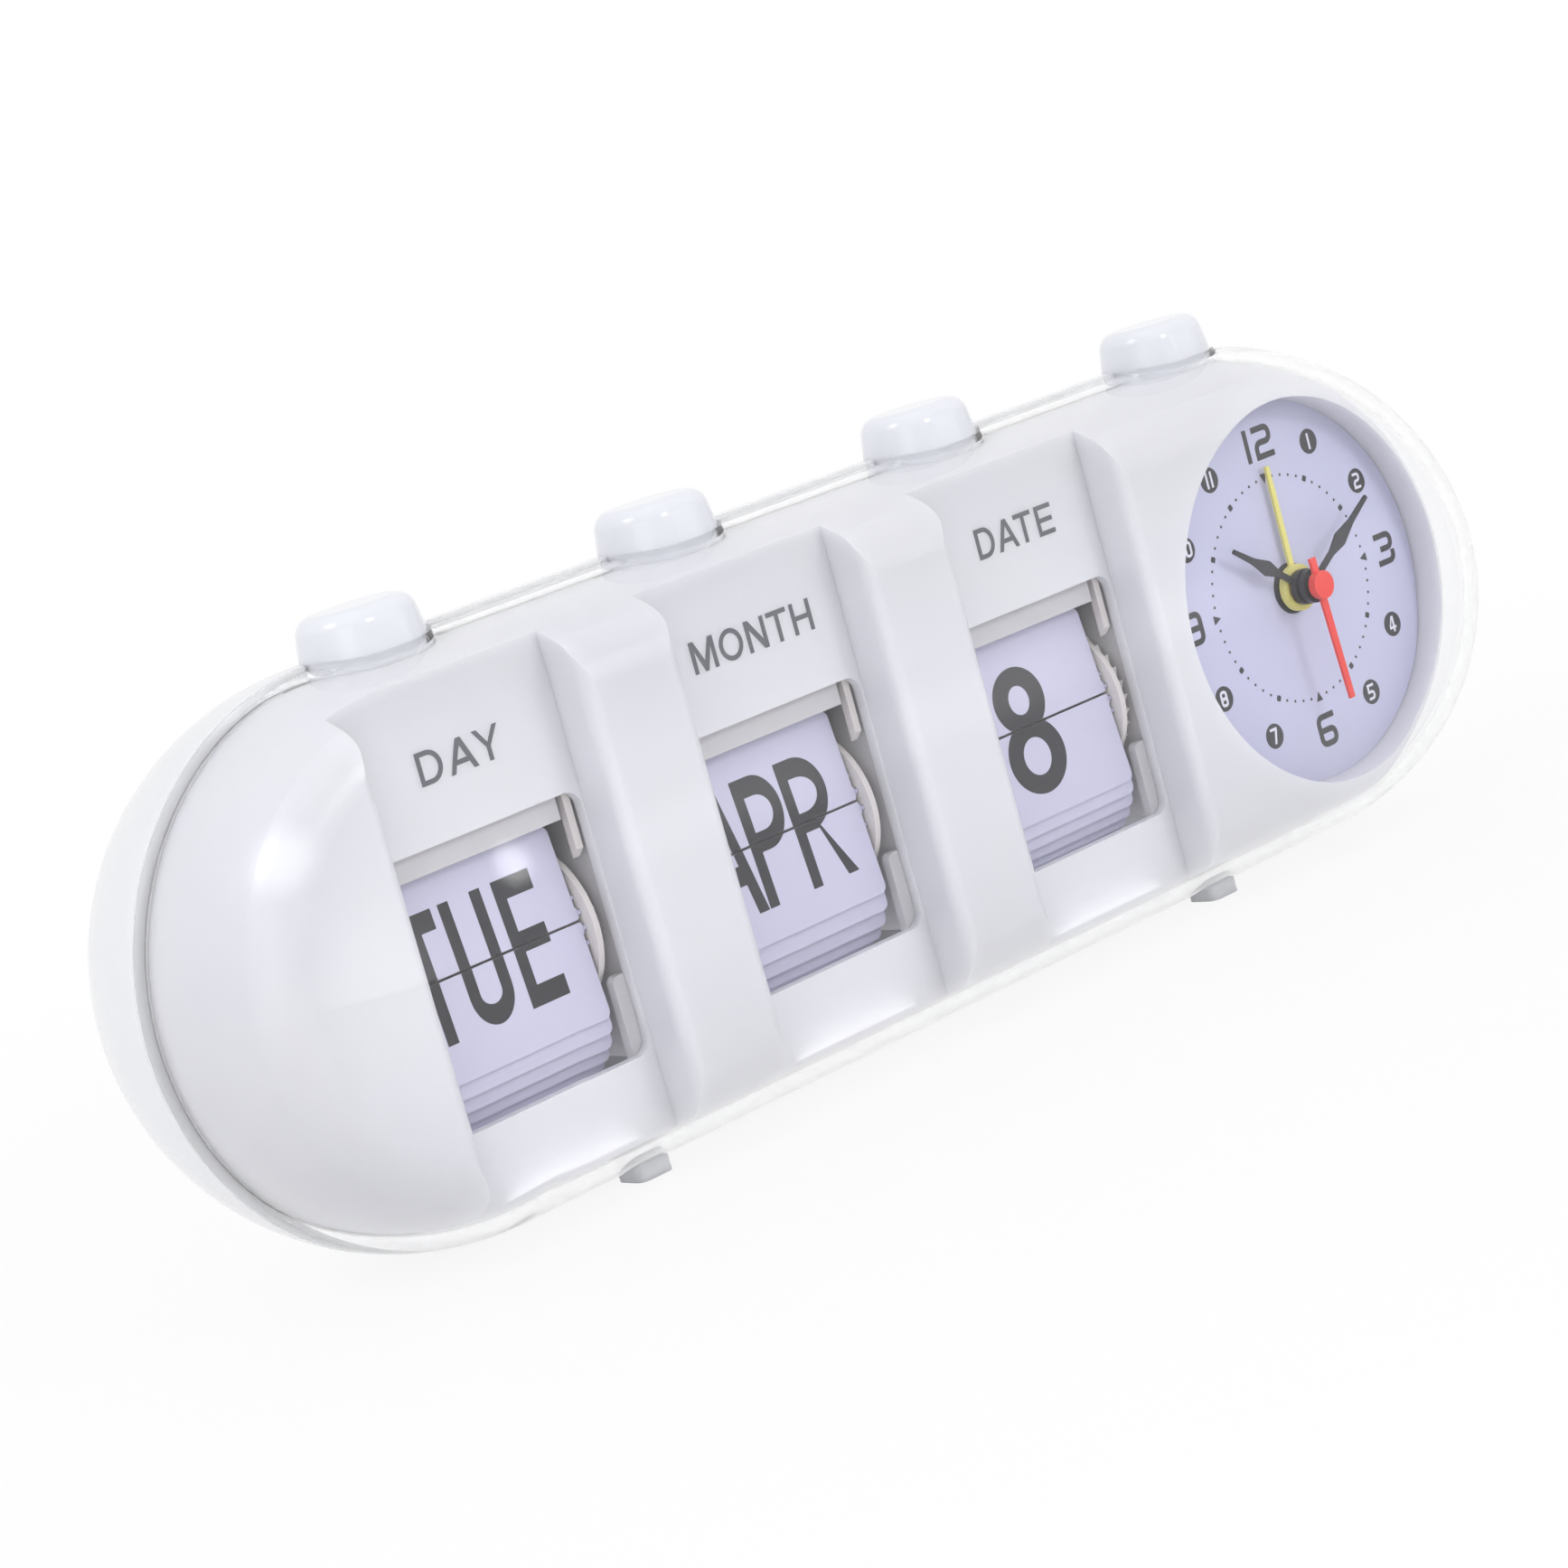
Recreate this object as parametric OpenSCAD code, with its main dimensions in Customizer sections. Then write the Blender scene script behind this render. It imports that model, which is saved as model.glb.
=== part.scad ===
// Flip calendar alarm clock: a lying capsule with a clear front cover, three leaf units (day, month and
// date) that one push button each turns on, and a hand dial with its alarm button at the right end.
// X runs along the body, -Y faces the reader, Z is up and z = 0 is the table.

/* [Body] */
// Diameter of the capsule
body_d = 66; // [65:0.5:70]
// Length of the capsule over its round ends
body_l = 205; // [203:0.5:212]
// Wall of the clear front cover
cover_t = 1.8; // [1.2:0.1:2]
// Wall of the rear shell
shell_t = 2; // [1.4:0.1:2.6]
// Chamfer on both sides of the seam between cover and shell
seam_chamfer = 0.35; // [0:0.05:0.6]
// Height of the feet below the capsule
foot_h = 1; // [0.6:0.1:2]
// Length and width of a foot pad
foot_size = 5; // [4:0.5:8]
// Corner radius of a foot pad
foot_corner = 1.2; // [0.5:0.1:1.9]
// Distance between the feet along the body
foot_span_x = 98; // [80:1:110]
// Distance between the front and the rear feet
foot_span_y = 11; // [10:0.5:20]

/* [Window frame] */
// Gap between the clear cover and the white frame behind it
frame_gap = 0.4; // [0.3:0.05:0.8]
// Wall of the white frame
frame_t = 1.6; // [1.2:0.1:2]
// Distance of the frame's flat front from the seam plane
front_depth = 17; // [16.5:0.1:18]
// Rounding where the flat front turns into the round body
front_round = 6; // [5:0.1:6.5]
// Width of a bay, the channel that holds a window
bay_w = 29.5; // [29:0.1:30.5]
// Distance of a bay's floor from the seam plane
bay_depth = 11; // [10.8:0.1:12]
// Thickness of a bay's floor
bay_floor_t = 1.4; // [1:0.1:1.6]
// Rounding of a bay's long front edges
bay_round = 1.6; // [0.8:0.1:2]
// Width of the window in a bay's floor
window_w = 28.8; // [28:0.1:29]
// Top edge of the window above the body axis
window_top = 11.2; // [10.5:0.1:12]
// Bottom edge of the window below the body axis
window_bottom = 19.6; // [19:0.1:20.5]
// Corner radius of the window
window_corner = 2; // [1:0.1:3]
// Gap between the brackets of two neighbouring leaf units
unit_gap = 0.9; // [0.6:0.1:1.2]
// Gap between the date unit's bracket and the battery tub
date_gap = 1; // [0.8:0.1:1.4]

/* [Leaf units] */
// Number of leaves on the day drum, four weeks
day_leaves = 28; // [28:7:35]
// Number of leaves on the month drum, two years
month_leaves = 24; // [24:12:36]
// Number of leaves on the date drum, one long month
date_leaves = 31; // [28:1:31]
// Width of a leaf
leaf_w = 24; // [22:0.5:24]
// Height of a leaf
leaf_h = 11.2; // [10:0.1:11.6]
// Corner radius at a leaf's free edge
leaf_corner = 1; // [0.4:0.1:2]
// Thickness of a leaf
leaf_t = 0.15; // [0.1:0.01:0.18]
// Gap between the upper and the lower leaf on show
leaf_split = 0.3; // [0.2:0.05:0.6]
// Radius of the circle of leaf pins on the drum
hinge_r = 8; // [7.6:0.1:8.2]
// Height of the split between the two leaves on the drum, in degrees above its axis
split_angle = 7; // [5:0.5:9]
// Lean of the upper leaf, in degrees from upright
leaf_lean = 6; // [4:0.5:7]
// Forward tilt of the lower leaf, in degrees from hanging
leaf_tilt = 5; // [5:0.5:6]
// Distance of the drum axis below the body axis
drum_drop = 4.3; // [4:0.1:4.8]
// Length of the tabs at a leaf's sides that carry its pins
leaf_tab = 0.2; // [0.1:0.05:0.3]
// Diameter of a leaf's pins
pin_d = 0.6; // [0.4:0.05:0.7]
// Play of a leaf's pins in the flanges
pin_play = 0.08; // [0.05:0.01:0.1]
// Gap between the leaves and the flanges
leaf_side_gap = 0.3; // [0.2:0.05:0.6]
// Thickness of a drum flange
flange_t = 0.8; // [0.6:0.1:1]
// Flange rim outside the pin circle
flange_rim = 1.7; // [0.7:0.05:1.8]
// Diameter of the drum's core
core_d = 10; // [8:0.5:12]
// Diameter of the drum's hub
hub_d = 5.6; // [5:0.1:7]
// Diameter of the steel axle
axle_d = 3; // [2:0.1:3.5]
// Radial running clearance of shafts
running = 0.05; // [0.03:0.01:0.08]
// Thickness of the ratchet wheel
ratchet_t = 1.2; // [0.8:0.1:1.2]
// Outer diameter of the day and month ratchets
ratchet_d = 16.4; // [15:0.1:17]
// Outer diameter of the date ratchet
date_ratchet_d = 18.4; // [17:0.1:18.6]
// Height of a ratchet tooth
tooth_h = 1; // [0.6:0.1:1.2]
// Thickness of the bracket that carries a drum
bracket_t = 1.4; // [1:0.1:1.6]
// Clearance between the drum's hub and the bracket
bracket_gap = 0.3; // [0.2:0.05:0.4]
// Thickness of the spring steel strip that clicks on the ratchet
click_t = 0.3; // [0.2:0.05:0.5]

/* [Buttons] */
// Length of a button cap
button_l = 15.4; // [14:0.1:16.5]
// Width of a button cap
button_w = 12.4; // [11:0.1:13]
// Height of a button cap above the body
button_proud = 4.6; // [4:0.1:6]
// Travel of a button
button_travel = 3; // [2:0.1:3.5]
// Gap around a button in its hole
button_gap = 0.3; // [0.2:0.05:0.5]
// Draft of a cap's sides, in degrees
button_draft = 9; // [4:0.5:12]
// Rounding of a cap's top edge
button_round = 2.2; // [1:0.1:2.6]
// Width and thickness of the collar that keeps a button in
collar = 1.2; // [0.8:0.1:1.4]
// Diameter of a button's stem
stem_d = 4; // [3:0.1:4.6]
// Wall of the well that guides a button
well_t = 1.3; // [1:0.1:1.6]
// Room for the spring under a button's collar
spring_room = 7.8; // [6.6:0.1:8.2]
// Mean diameter of a button spring
spring_d = 7; // [6.4:0.1:8]
// Wire diameter of a button spring
spring_wire = 0.6; // [0.4:0.05:0.7]
// Curls of a button spring
spring_curls = 4; // [3:1:5]

/* [Dial] */
// Diameter of the round opening over the dial
dial_open_d = 49; // [47:0.5:50]
// Depth of the dial face behind the seam plane's front
dial_depth = 12.1; // [11.6:0.1:12.6]
// Thickness of the dial
dial_t = 0.9; // [0.6:0.1:1.2]
// Height of the hands' axis above the body axis
dial_lift = 0.5; // [0:0.1:1]
// Length of the hour hand
hour_l = 13.4; // [11:0.1:14]
// Length of the minute hand
minute_l = 16.1; // [15:0.1:18]
// Length of the second hand
second_l = 15.2; // [14:0.1:18]
// Length of the alarm hand
alarm_l = 16; // [14:0.1:17]
// Thickness of a hand
hand_t = 0.4; // [0.3:0.05:0.5]
// Spacing of the hands along their axis
hand_step = 1.3; // [1.2:0.05:1.5]
// Gap between the dial and the alarm hand
hand_gap = 0.7; // [0.5:0.05:1]

/* [Movement and battery] */
// Width of the movement case
movement_w = 40; // [36:0.5:40]
// Top of the movement case above the body axis
movement_top = 14.8; // [12:0.1:14.8]
// Bottom of the movement case below the body axis
movement_bottom = 19; // [16:0.5:19]
// Depth of the movement case behind the dial
movement_d = 14; // [13:0.1:14.2]
// Diameter of the battery cell
cell_d = 10.5; // [10.2:0.1:10.5]
// Length of the battery cell
cell_l = 44.5; // [43:0.1:44.5]
// Reach of the battery tub to the right of the dial centre
tub_reach = 21.5; // [21:0.1:21.5]
// Room for the spring contact
contact_room = 2.5; // [2:0.1:2.5]
// Thickness of the plate contact
contact_t = 0.5; // [0.3:0.05:0.6]
// Play around the cell
cell_play = 0.35; // [0.2:0.05:0.5]
// Wall of the battery tub
tub_t = 1.2; // [1:0.1:1.4]
// Height of the cell's axis below the body axis
cell_drop = 4; // [3.6:0.1:4.2]
// Depth of the back panel behind the seam plane
panel_depth = 16.9; // [16.8:0.1:17.6]
// Thickness of the back panel and of the battery lid
panel_t = 1.5; // [1.2:0.1:1.8]
// Gap around the battery lid
lid_gap = 0.3; // [0.2:0.05:0.5]
// Diameter of the setting knobs
knob_d = 8; // [7:0.1:8.4]
// Height of the setting knobs
knob_h = 8; // [5:0.1:9]
// Distance between the setting knobs
knob_span = 17; // [14:0.5:20]
// Height of the knobs above the body axis
knob_lift = 7.5; // [7:0.1:8]

/* [Hidden] */
$fn = 72;

// Body
body_r = body_d / 2;
axis_z = foot_h + body_r;
cap_x = body_l / 2 - body_r;
far = body_l;

// Frame
frame_r = body_r - cover_t - frame_gap;
frame_rim = frame_gap;
inner_r = frame_r - frame_t;
bay_back = bay_depth - bay_floor_t;

// Units, counted 0 for day, 1 for month and 2 for date
DAY = 0;
MONTH = 1;
DATE = 2;
ALARM = 3;
dial_x = cap_x;
alarm_shift = 1;
leaf_counts = [day_leaves, month_leaves, date_leaves];
ratchet_ds = [ratchet_d, ratchet_d, date_ratchet_d];

// Drum and bracket, measured from the unit's middle
flange_x = leaf_w / 2 + leaf_side_gap;
flange_end = flange_x + flange_t;
ratchet_end = flange_end + ratchet_t;
hub_end = ratchet_end + bracket_gap;
bracket_x = hub_end + bracket_gap;
bracket_half = bracket_x + bracket_t;
flange_r = hinge_r + flange_rim;
bracket_z0 = -window_bottom - 0.9;
bracket_z1 = 16.4;
bracket_rear = 18;
ear_w = 5;
ear_h = 5;
ear_x = bracket_half + ear_w / 2;
ear_z = bracket_z1 - ear_h / 2;
ear_screw_d = 1.8;
ear_screw_l = 5.5;
ear_head_d = 3.6;
ear_head_h = 1.2;
boss_d = 4.6;
screw_play = 0.05;
guide_gap = 0.7;
guide_x = leaf_w / 2 + guide_gap;
guide_t = 1.2;
guide_drop = 10.4;

// The units stand side by side to the left of the battery tub
tub_left = tub_t + contact_room + cell_l + contact_t - tub_reach;
dial_to_date = tub_left + date_gap + bracket_half;
unit_pitch = 2 * (bracket_half + ear_w) + unit_gap;
date_x = dial_x - dial_to_date;
function unit_x(u) = u == ALARM ? dial_x - alarm_shift : date_x - (DATE - u) * unit_pitch;

// Leaves: a leaf's pins sit back from its edge, so that two neighbours nearly meet at the split. Behind the
// one on show they fan out over the top, hang down at the back, and lie on one another once they have fallen
lean_rate = 0.8;
lean_turn = 100;
tilt_step = 1.2;
function leaf_pitch(n) = 360 / n;
function leaf_overhang(n) = hinge_r * sin(leaf_pitch(n) / 2) - leaf_split / 2;
function leaf_angle(n, i) = split_angle + leaf_pitch(n) * (i + 0.5);
function rise(turned) = lean_rate * min(turned, lean_turn) + max(0, turned - lean_turn);
function fallen_tilt(n, i) = max(0, leaf_tilt - tilt_step * (n - 1 - i));
function lean_of(n, i) = min(180, leaf_lean + rise(leaf_pitch(n) * i)) + fallen_tilt(n, i);

// Buttons
collar_top = sqrt(pow(inner_r - button_gap, 2) - pow(button_w / 2 + collar, 2));
collar_bottom = collar_top - collar;
well_floor = collar_bottom - spring_room;
well_bottom = well_floor - well_t;
well_in_l = button_l + 2 * collar + 2 * button_gap;
well_in_w = button_w + 2 * collar + 2 * button_gap;
arm_h = 1.6;
arm_top = well_bottom - button_gap;
arm_z = arm_top - arm_h;
pawl_w = 1;
pawl_y0 = bay_back - button_gap;
pawl_y1 = pawl_y0 - 1.1;
pawl_reach = date_ratchet_d / 2 + button_gap;
pawl_tip = button_travel - drum_drop + sqrt(pow(pawl_reach, 2) - pow(pawl_y1, 2));

// Bar that keeps the standing leaves back, just above the arc of a falling leaf's edge
function tip_arc(n) = hinge_r * sin(leaf_angle(n, 0)) - drum_drop + leaf_h - leaf_overhang(n);
bar_z = max(tip_arc(day_leaves), tip_arc(month_leaves), tip_arc(date_leaves)) + bracket_gap;

// Dial, hands and movement. The dial fits the round inside of the frame at its depth
dial_front = -dial_depth;
dial_edge_gap = 1.3;
dial_r = sqrt(pow(inner_r, 2) - pow(dial_depth, 2)) - dial_edge_gap;
movement_front = dial_front + dial_t;
movement_back = movement_front + movement_d;
alarm_y = dial_front - hand_gap;
hour_y = alarm_y - hand_step;
minute_y = hour_y - hand_step;
second_y = minute_y - hand_step;
second_r = 0.4;
minute_r = 0.95;
hour_r = 1.55;
alarm_r = 2.2;
arbor_in = movement_front + 4;
bush_r = 3.2;
tube_rest = 0.25;
hub_h = 0.9;
second_hub_r = 1.8;
second_hub_h = 1.1;
second_tail = 3.6;
function clock_turn(hour, minute) = 360 / 12 * (hour + minute / 60);
show_hour = 10;
show_minute = 10;
show_second = 29.5;

// Battery tub and back panel
tub_x0 = dial_x + tub_reach - contact_t - cell_l - contact_room;
tub_x1 = dial_x + tub_reach;
tub_half = cell_d / 2 + cell_play;
tub_front = movement_back + tub_t;
cell_y = tub_front + cell_play + cell_d / 2;
cell_x0 = tub_x1 - contact_t - cell_l;
panel_back = panel_depth - panel_t;
recess_x0 = tub_x0 - 0.4;
recess_x1 = tub_x1 + 2;
recess_z0 = -cell_drop - tub_half - 2.6;
recess_z1 = knob_lift + knob_d / 2 + 2;
recess_round = 4;
shaft_d = 2.4;

// Case screws
screw_d = 2;
screw_l = 14;
screw_head_d = 4;
screw_head_h = 1.6;
post_d = 5;
post_end = 4;
boss_floor = 4;
tower_d = 7;
end_screw = 18.5;
dial_screw = 23;
left_x = min(-cap_x - end_screw, unit_x(DAY) - bracket_half - bracket_gap - tower_d / 2);
right_x = dial_x - dial_screw;
screw_places = [[left_x, 10], [left_x, -10], [right_x, 22], [right_x, -22]];

// Shapes that repeat

// Solid or shell with a straight spine along X and half-turned ends; its child is half the section,
// with x the distance from the spine and y the height along Z
module stadium(half) {
    for (side = [0, 1])
        mirror([side, 0, 0])
            translate([half, 0, 0])
                rotate([0, 0, -90])
                    rotate_extrude(angle = 180)
                        children();
    rotate([90, 0, 90])
        translate([0, 0, -half])
            linear_extrude(2 * half)
                for (side = [0, 1])
                    mirror([side, 0, 0])
                        children();
}

// Turns a form whose height runs along Z to face the front, or the back
module facing_front() { rotate([90, 0, 0]) children(); }
module facing_back() { rotate([-90, 0, 0]) children(); }

// Extrudes an outline drawn in Y and Z along X
module along_x(length) { rotate([90, 0, 90]) linear_extrude(length) children(); }

// Extrudes an outline drawn in X and Z along Y, from y0 to y1
module along_y(y0, y1) {
    translate([0, y1, 0])
        rotate([90, 0, 0])
            linear_extrude(y1 - y0)
                children();
}

// Round rod along Y from y0 to y1
module rod_y(d, y0, y1) {
    translate([0, y0, 0])
        rotate([-90, 0, 0])
            cylinder(d = d, h = y1 - y0);
}

// Round rod along X from x0 to x1
module rod_x(d, x0, x1) {
    translate([x0, 0, 0])
        rotate([0, 90, 0])
            cylinder(d = d, h = x1 - x0);
}

module oblong(l, w) {
    for (side = [-1, 1])
        translate([side * (l - w) / 2, 0])
            circle(d = w);
    square([l - w, w], center = true);
}

module round_rect(x0, x1, y0, y1, r) {
    for (x = [x0 + r, x1 - r], y = [y0 + r, y1 - r])
        translate([x, y])
            circle(r);
    translate([x0 + r, y0])
        square([x1 - x0 - 2 * r, y1 - y0]);
    translate([x0, y0 + r])
        square([x1 - x0, y1 - y0 - 2 * r]);
}

// Upright plate on y = 0 whose two upper corners are rounded
module round_top(w, h, r) {
    for (side = [-1, 1])
        translate([side * (w / 2 - r), h - r])
            circle(r);
    translate([-w / 2, 0])
        square([w, h - r]);
    translate([r - w / 2, 0])
        square([w - 2 * r, h]);
}

// Coil spring round Z from z0 to z1: one tube swept along a helix
module coil(d, wire, z0, z1, curls) {
    rings = 8 * curls;
    sides = 6;
    points = [
        for (i = [0 : rings], k = [0 : sides - 1])
            let (turn = 360 * curls * i / rings, round = 360 * k / sides, reach = (d + wire * cos(round)) / 2)
            [
                reach * cos(turn),
                reach * sin(turn),
                z0 + wire / 2 + (z1 - z0 - wire) * i / rings + wire / 2 * sin(round)
            ]
    ];
    skin = [
        for (i = [0 : rings - 1], k = [0 : sides - 1])
            let (a = i * sides + k, b = i * sides + (k + 1) % sides)
            each [[a, a + sides, b], [b, a + sides, b + sides]]
    ];
    start = [for (k = [1 : sides - 2]) [0, k, k + 1]];
    finish = [for (k = [1 : sides - 2]) [rings * sides, rings * sides + k + 1, rings * sides + k]];
    echo("gap between curls", (z1 - z0 - wire) / curls - wire);
    polyhedron(points, concat(skin, start, finish));
}

module in_body() { translate([0, 0, axis_z]) children(); }
module in_unit(u) { in_body() translate([unit_x(u), 0, 0]) children(); }
module on_drum(u) { in_unit(u) translate([0, 0, -drum_drop]) children(); }
module on_dial(y) { in_body() translate([dial_x, y, dial_lift]) children(); }

// Body

module shell_section(wall) {
    difference() {
        intersection() {
            circle(body_r);
            square(body_r);
        }
        circle(body_r - wall);
        polygon([
            [body_r - seam_chamfer, 0],
            [body_r + seam_chamfer, 0],
            [body_r + seam_chamfer, 2 * seam_chamfer]
        ]);
    }
}

module full_section() {
    intersection() {
        circle(body_r);
        square(body_r);
    }
}

module button_holes() {
    for (u = [DAY : ALARM])
        translate([unit_x(u), 0, well_bottom + well_t])
            linear_extrude(body_r)
                oblong(button_l + 2 * button_gap, button_w + 2 * button_gap);
}

module front_cover() {
    color([0.92, 0.95, 0.98, 0.3])
        in_body()
            difference() {
                facing_front() stadium(cap_x) shell_section(cover_t);
                button_holes();
            }
}

module recess_outline(grow) {
    round_rect(recess_x0 - grow, recess_x1 + grow, recess_z0 - grow, recess_z1 + grow, recess_round + grow);
}

module rear_shell() {
    color("whitesmoke")
        in_body()
            difference() {
                union() {
                    facing_back() stadium(cap_x) shell_section(shell_t);
                    intersection() {
                        facing_back() stadium(cap_x) full_section();
                        union() {
                            along_y(panel_back, body_r) recess_outline(panel_t);
                            translate([tub_x0 - tub_t, movement_back, -cell_drop - tub_half - tub_t])
                                cube([
                                    tub_x1 - tub_x0 + 2 * tub_t,
                                    panel_depth - movement_back,
                                    2 * (tub_half + tub_t)
                                ]);
                            for (place = screw_places)
                                translate([place[0], 0, place[1]])
                                    rod_y(tower_d, post_end, body_r);
                        }
                    }
                }
                along_y(panel_depth, body_r + 1) recess_outline(0);
                translate([tub_x0, tub_front, -cell_drop - tub_half])
                    cube([tub_x1 - tub_x0, body_r, 2 * tub_half]);
                for (place = screw_places)
                    translate([place[0], 0, place[1]]) {
                        rod_y(screw_d + 4 * screw_play, post_end - 1, body_r);
                        rod_y(screw_head_d + 1, post_end + boss_floor, body_r);
                    }
                for (side = [-1, 1])
                    translate([dial_x + side * knob_span / 2, 0, knob_lift])
                        rod_y(shaft_d + 2 * running, panel_back - 1, panel_depth + 1);
                button_holes();
            }
}

module feet() {
    color("whitesmoke")
        difference() {
            for (x = [-1, 1], y = [-1, 1])
                translate([x * foot_span_x / 2, y * foot_span_y / 2, 0])
                    linear_extrude(axis_z - body_r + foot_size)
                        round_rect(-foot_size / 2, foot_size / 2, -foot_size / 2, foot_size / 2, foot_corner);
            in_body() rod_x(body_d, -far / 2, far / 2, $fn = 360);
        }
}

// Window frame

// Half section of a round body with a flat front
module flat_section(r, flat) {
    intersection() {
        circle(r);
        square([r, flat]);
    }
}

// The same with a rounding: three pieces meet on the line through the rounding's centre
module rounded_section(r, flat, round) {
    centre_x = sqrt(pow(r - round, 2) - pow(flat - round, 2));
    centre_y = flat - round;
    intersection() {
        circle(r);
        polygon([[0, 0], [2 * r, 0], [2 * r, 2 * r * centre_y / centre_x]]);
    }
    translate([centre_x, centre_y])
        circle(round);
    polygon([[0, 0], [centre_x, centre_y], [centre_x, flat], [0, flat]]);
}

module frame_section() {
    difference() {
        rounded_section(frame_r, front_depth, front_round);
        flat_section(inner_r, front_depth - frame_t);
        square([2 * frame_r, 2 * frame_rim], center = true);
    }
}

// Space inside the frame that reaches into its wall, which trims the walls and bosses behind it
module frame_core() {
    skin = 0.6 * frame_t;
    facing_front()
        stadium(cap_x)
            difference() {
                flat_section(frame_r - skin, front_depth - skin);
                square([2 * frame_r, 4 * frame_rim], center = true);
            }
}

// Channel of a bay, drawn in X and Y: its long front edges are rounded over
module bay_outline() {
    translate([-bay_w / 2, -body_r])
        square([bay_w, body_r - bay_depth]);
    difference() {
        translate([-bay_w / 2 - bay_round, -body_r])
            square([bay_w + 2 * bay_round, body_r - front_depth + bay_round]);
        for (side = [-1, 1])
            translate([side * (bay_w / 2 + bay_round), bay_round - front_depth])
                circle(bay_round);
    }
}

module bay_walls() {
    translate([-bay_w / 2 - frame_t, -front_depth, -body_r])
        cube([bay_w + 2 * frame_t, front_depth - bay_back, body_d]);
}

module well_outside() {
    translate([-well_in_l / 2 - well_t, -bay_back - bay_floor_t / 2, well_bottom])
        cube([well_in_l + 2 * well_t, bay_back + bay_floor_t / 2 + well_in_w / 2 + well_t, body_r]);
}

module well_inside() {
    translate([-well_in_l / 2, -well_in_w / 2, well_floor])
        cube([well_in_l, well_in_w, body_r]);
}

// Whole capsule of radius r around the body's axis
module capsule(r) {
    facing_front()
        stadium(cap_x)
            intersection() {
                circle(r);
                translate([0, -r])
                    square([r, 2 * r]);
            }
}

// Wall of the frame in front of the buttons, which the wells leave standing
module well_front() {
    difference() {
        translate([-far / 2, -body_r, 0])
            cube([far, body_r - frame_rim, body_d]);
        capsule(inner_r);
    }
}

module window_frame() {
    color("white")
        in_body()
            difference() {
                union() {
                    facing_front() stadium(cap_x) frame_section();
                    intersection() {
                        frame_core();
                        union() {
                            for (u = [DAY : DATE])
                                translate([unit_x(u), 0, 0])
                                    bay_walls();
                            translate([dial_x, 0, 0])
                                rod_y(dial_open_d + 2 * frame_t, -front_depth, dial_front);
                            for (u = [DAY : DATE], side = [-1, 1])
                                translate([unit_x(u) + side * ear_x, 0, ear_z])
                                    rod_y(boss_d, -front_depth, -bay_back);
                        }
                    }
                    for (place = screw_places)
                        translate([place[0], 0, place[1]])
                            rod_y(post_d, frame_t / 2 - front_depth, post_end);
                    intersection() {
                        capsule(inner_r + frame_t / 2);
                        for (u = [DAY : ALARM])
                            translate([unit_x(u), 0, 0])
                                well_outside();
                    }
                }
                for (u = [DAY : DATE])
                    translate([unit_x(u), 0, 0]) {
                        translate([0, 0, -body_r])
                            linear_extrude(body_d)
                                bay_outline();
                        along_y(-body_r, 1 - bay_back)
                            round_rect(
                                -window_w / 2, window_w / 2, -window_bottom, window_top, window_corner
                            );
                        for (side = [-1, 1])
                            translate([side * ear_x, 0, ear_z])
                                rod_y(ear_screw_d + 2 * screw_play, -bay_back - ear_screw_l, 0);
                    }
                translate([dial_x, 0, 0])
                    rod_y(dial_open_d, -body_r, 1 + dial_front);
                for (place = screw_places)
                    translate([place[0], 0, place[1]])
                        rod_y(screw_d + 2 * screw_play, post_end + boss_floor - screw_l - 1, post_end + 1);
                difference() {
                    for (u = [DAY : ALARM])
                        translate([unit_x(u), 0, 0])
                            well_inside();
                    well_front();
                }
                for (u = [DAY : ALARM])
                    translate([unit_x(u), 0, well_bottom - 1])
                        cylinder(d = stem_d + 2 * running, h = well_t + 2);
                button_holes();
            }
}

// Screws

module pan_screw(d, l, head_d, head_h) {
    rotate([90, 0, 0]) {
        cylinder(d = d, h = l);
        translate([0, 0, -head_h])
            difference() {
                cylinder(d = head_d, h = head_h);
                for (turn = [0, 90])
                    rotate([0, 0, turn])
                        translate([-head_d / 3, -head_d / 16, -1])
                            cube([head_d / 1.5, head_d / 8, 1 + head_h / 2]);
            }
    }
}

module case_screws() {
    color("silver")
        in_body()
            for (place = screw_places)
                translate([place[0], post_end + boss_floor, place[1]])
                    pan_screw(screw_d, screw_l, screw_head_d, screw_head_h);
}

module bracket_screws() {
    color("silver")
        in_body()
            for (u = [DAY : DATE], side = [-1, 1])
                translate([unit_x(u) + side * ear_x, bracket_t - bay_back, ear_z])
                    pan_screw(ear_screw_d, ear_screw_l, ear_head_d, ear_head_h);
}

// Leaf units

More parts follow.
